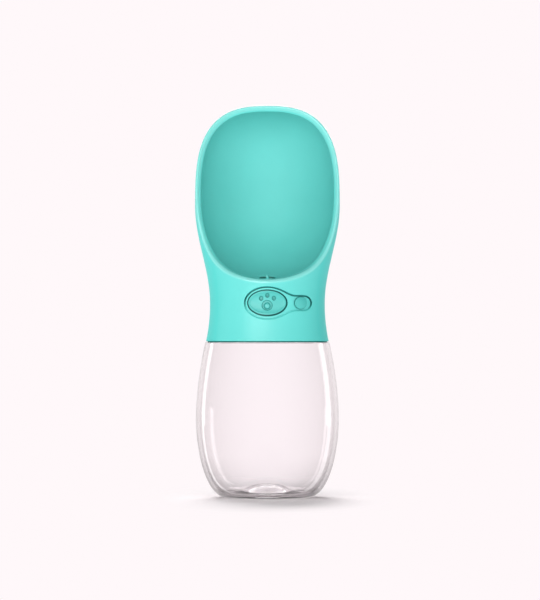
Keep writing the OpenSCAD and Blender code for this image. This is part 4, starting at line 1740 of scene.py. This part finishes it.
@dataclass(frozen=True)
class FloorPaper(Surface):
    """Matte paper that keeps the shadow and has the background's colour elsewhere.

    Its own light makes up for what the lamps leave missing to the background, and
    farther out it turns into the background altogether.
    """

    background: str
    share: float
    light: float
    fade_mm: tuple[float, float] = (90.0, 220.0)
    stretch: float = 3.2

    def shader(self, tree: bpy.types.NodeTree, at: bpy.types.NodeSocket) -> bpy.types.Node:
        """Adds the paper's nodes.

        Args:
            tree: node tree of the material.
            at: Object coordinates.

        Returns:
            The shader.
        """
        want = np.array(linear(self.background)[:3])
        glow = (*(want * (1.0 - self.share)).tolist(), 1.0)
        card = (*np.clip(want * self.share / self.light, 0.0, 1.0).tolist(), 1.0)
        wide = add_node(tree, "VectorMath", {0: at, 1: (self.stretch, 1.0, 0.0)}, operation="MULTIPLY")
        away = add_node(tree, "VectorMath", {0: wide}, operation="LENGTH").outputs["Value"]
        near, far = (mm * MM for mm in self.fade_mm)
        fade = add_node(tree, "MapRange", {
            "Value": away, "From Min": near, "From Max": far}, interpolation_type="SMOOTHSTEP")
        matte = add_node(tree, "BsdfDiffuse", {"Color": card})
        own = add_node(tree, "Emission", {"Color": glow, "Strength": background_rays(tree)})
        lit = add_node(tree, "AddShader", {0: matte, 1: own})
        plain = add_node(tree, "Emission", {"Color": linear(self.background), "Strength": 1.0})
        return add_node(tree, "MixShader", {0: fade, 1: lit, 2: plain})


@dataclass
class Studio:
    """Floor, light and camera."""

    background: str = "#FFF8FA"
    world_level: float = 0.06
    floor_level: float = 0.9
    floor_reach: float = 4000.0
    floor_drop: float = 0.05
    ground_level: float = 0.8
    distance: float = 2.2
    eye_z: float = 0.0892
    sensor: float = 36.0
    clip: tuple[float, float] = (0.05, 20.0)
    px_mm: float = 0.575
    axis_px: float = 267.4
    base_px: float = 497.2
    width_px: float = 540.0
    height_px: float = 600.0

    def world(self) -> None:
        """A plain pale world, shown as the background colour to the camera, in gloss and through glass.

        Gloss that looks down sees it darker, as it would the shaded ground round the object.
        """
        world = bpy.data.worlds.new("studio")
        bpy.context.scene.world = world
        world.use_nodes = True
        tree = world.node_tree
        tree.nodes.clear()
        fill = add_node(tree, "Background", {"Color": linear("#FFFFFF"), "Strength": self.world_level})
        way = add_node(tree, "TexCoord").outputs["Generated"]
        height = add_node(tree, "SeparateXYZ", {0: way}).outputs["Z"]
        below = add_node(tree, "MapRange", {
            "Value": height, "From Min": -0.05, "From Max": -0.5, "To Max": 1.0 - self.ground_level})
        gloss = add_node(tree, "LightPath").outputs["Is Glossy Ray"]
        less = add_node(tree, "Math", {0: below, 1: gloss}, operation="MULTIPLY")
        strength = add_node(tree, "Math", {0: 1.0, 1: less}, operation="SUBTRACT")
        shown = add_node(tree, "Background", {"Color": linear(self.background), "Strength": strength})
        mix = add_node(tree, "MixShader", {0: background_rays(tree), 1: fill, 2: shown})
        add_node(tree, "OutputWorld", {"Surface": mix})

    def floor(self) -> None:
        """A pale floor just under the base."""
        r, z = self.floor_reach, -self.floor_drop
        corners = np.array([[-r, -r, z], [r, -r, z], [r, r, z], [-r, r, z]])
        floor = make_mesh("floor", corners, [[0, 1, 2, 3]])
        paper = FloorPaper("floor_paper", self.background, self.floor_level, self.floor_light())
        floor.data.materials.append(paper.build())
        floor.visible_glossy = False

    def floor_light(self) -> float:
        """How bright a white card gets that lies on the floor."""
        return self.world_level + sum(sun.on_floor() for sun in SUNS if sun.lights is not Lights.OBJECT)

    def camera(self) -> None:
        """A long lens level with the seam, framed so that a pixel is a fixed size at the axis."""
        view_w = self.width_px * self.px_mm * MM
        middle_z = (self.base_px - self.height_px / 2.0) * self.px_mm * MM
        data = bpy.data.cameras.new("camera")
        data.sensor_fit = "HORIZONTAL"
        data.sensor_width = self.sensor
        data.lens = self.sensor * self.distance / view_w
        data.shift_x = (self.width_px / 2.0 - self.axis_px) / self.width_px
        data.shift_y = (middle_z - self.eye_z) / view_w
        data.clip_start, data.clip_end = self.clip
        camera = bpy.data.objects.new("camera", data)
        camera.location = (0.0, -self.distance, self.eye_z)
        camera.rotation_euler = (pi / 2.0, 0.0, 0.0)
        bpy.context.scene.collection.objects.link(camera)
        bpy.context.scene.camera = camera

    def build(self) -> None:
        """Sets the stage."""
        self.world()
        self.floor()
        for lamp in (*SUNS, *STRIPS):
            lamp.build()
        self.camera()


# ---------------------------------------------------------------------- main


def dress_cad() -> None:
    """Gives every CAD node that still shows its finish."""
    finish_of = {
        "head_teal": Finish.HEAD,
        "button_teal": Finish.BUTTON,
        "inner_white": Finish.INNER,
        "silicone": Finish.SEAL,
        "steel": Finish.STEEL,
        "bottle_clear": Finish.CLEAR,
    }
    for part in frame["record"]["subparts"]:
        dress(frame["nodes"][part["node"]], finish_of[part["material_slot"]])


def main() -> None:
    """Builds the object in order."""
    logging.basicConfig(level=logging.INFO, format="%(name)s: %(message)s")
    bpy.context.scene.view_settings.view_transform = "Standard"
    dress_cad()
    Bottle().build()
    head = ScoopHead()
    head.build()
    Button(head).build()
    Lock(head).build()
    for spring in SPRINGS:
        spring.build()
    Studio().build()
    bpy.context.view_layer.update()


if __name__ == "__main__":
    main()
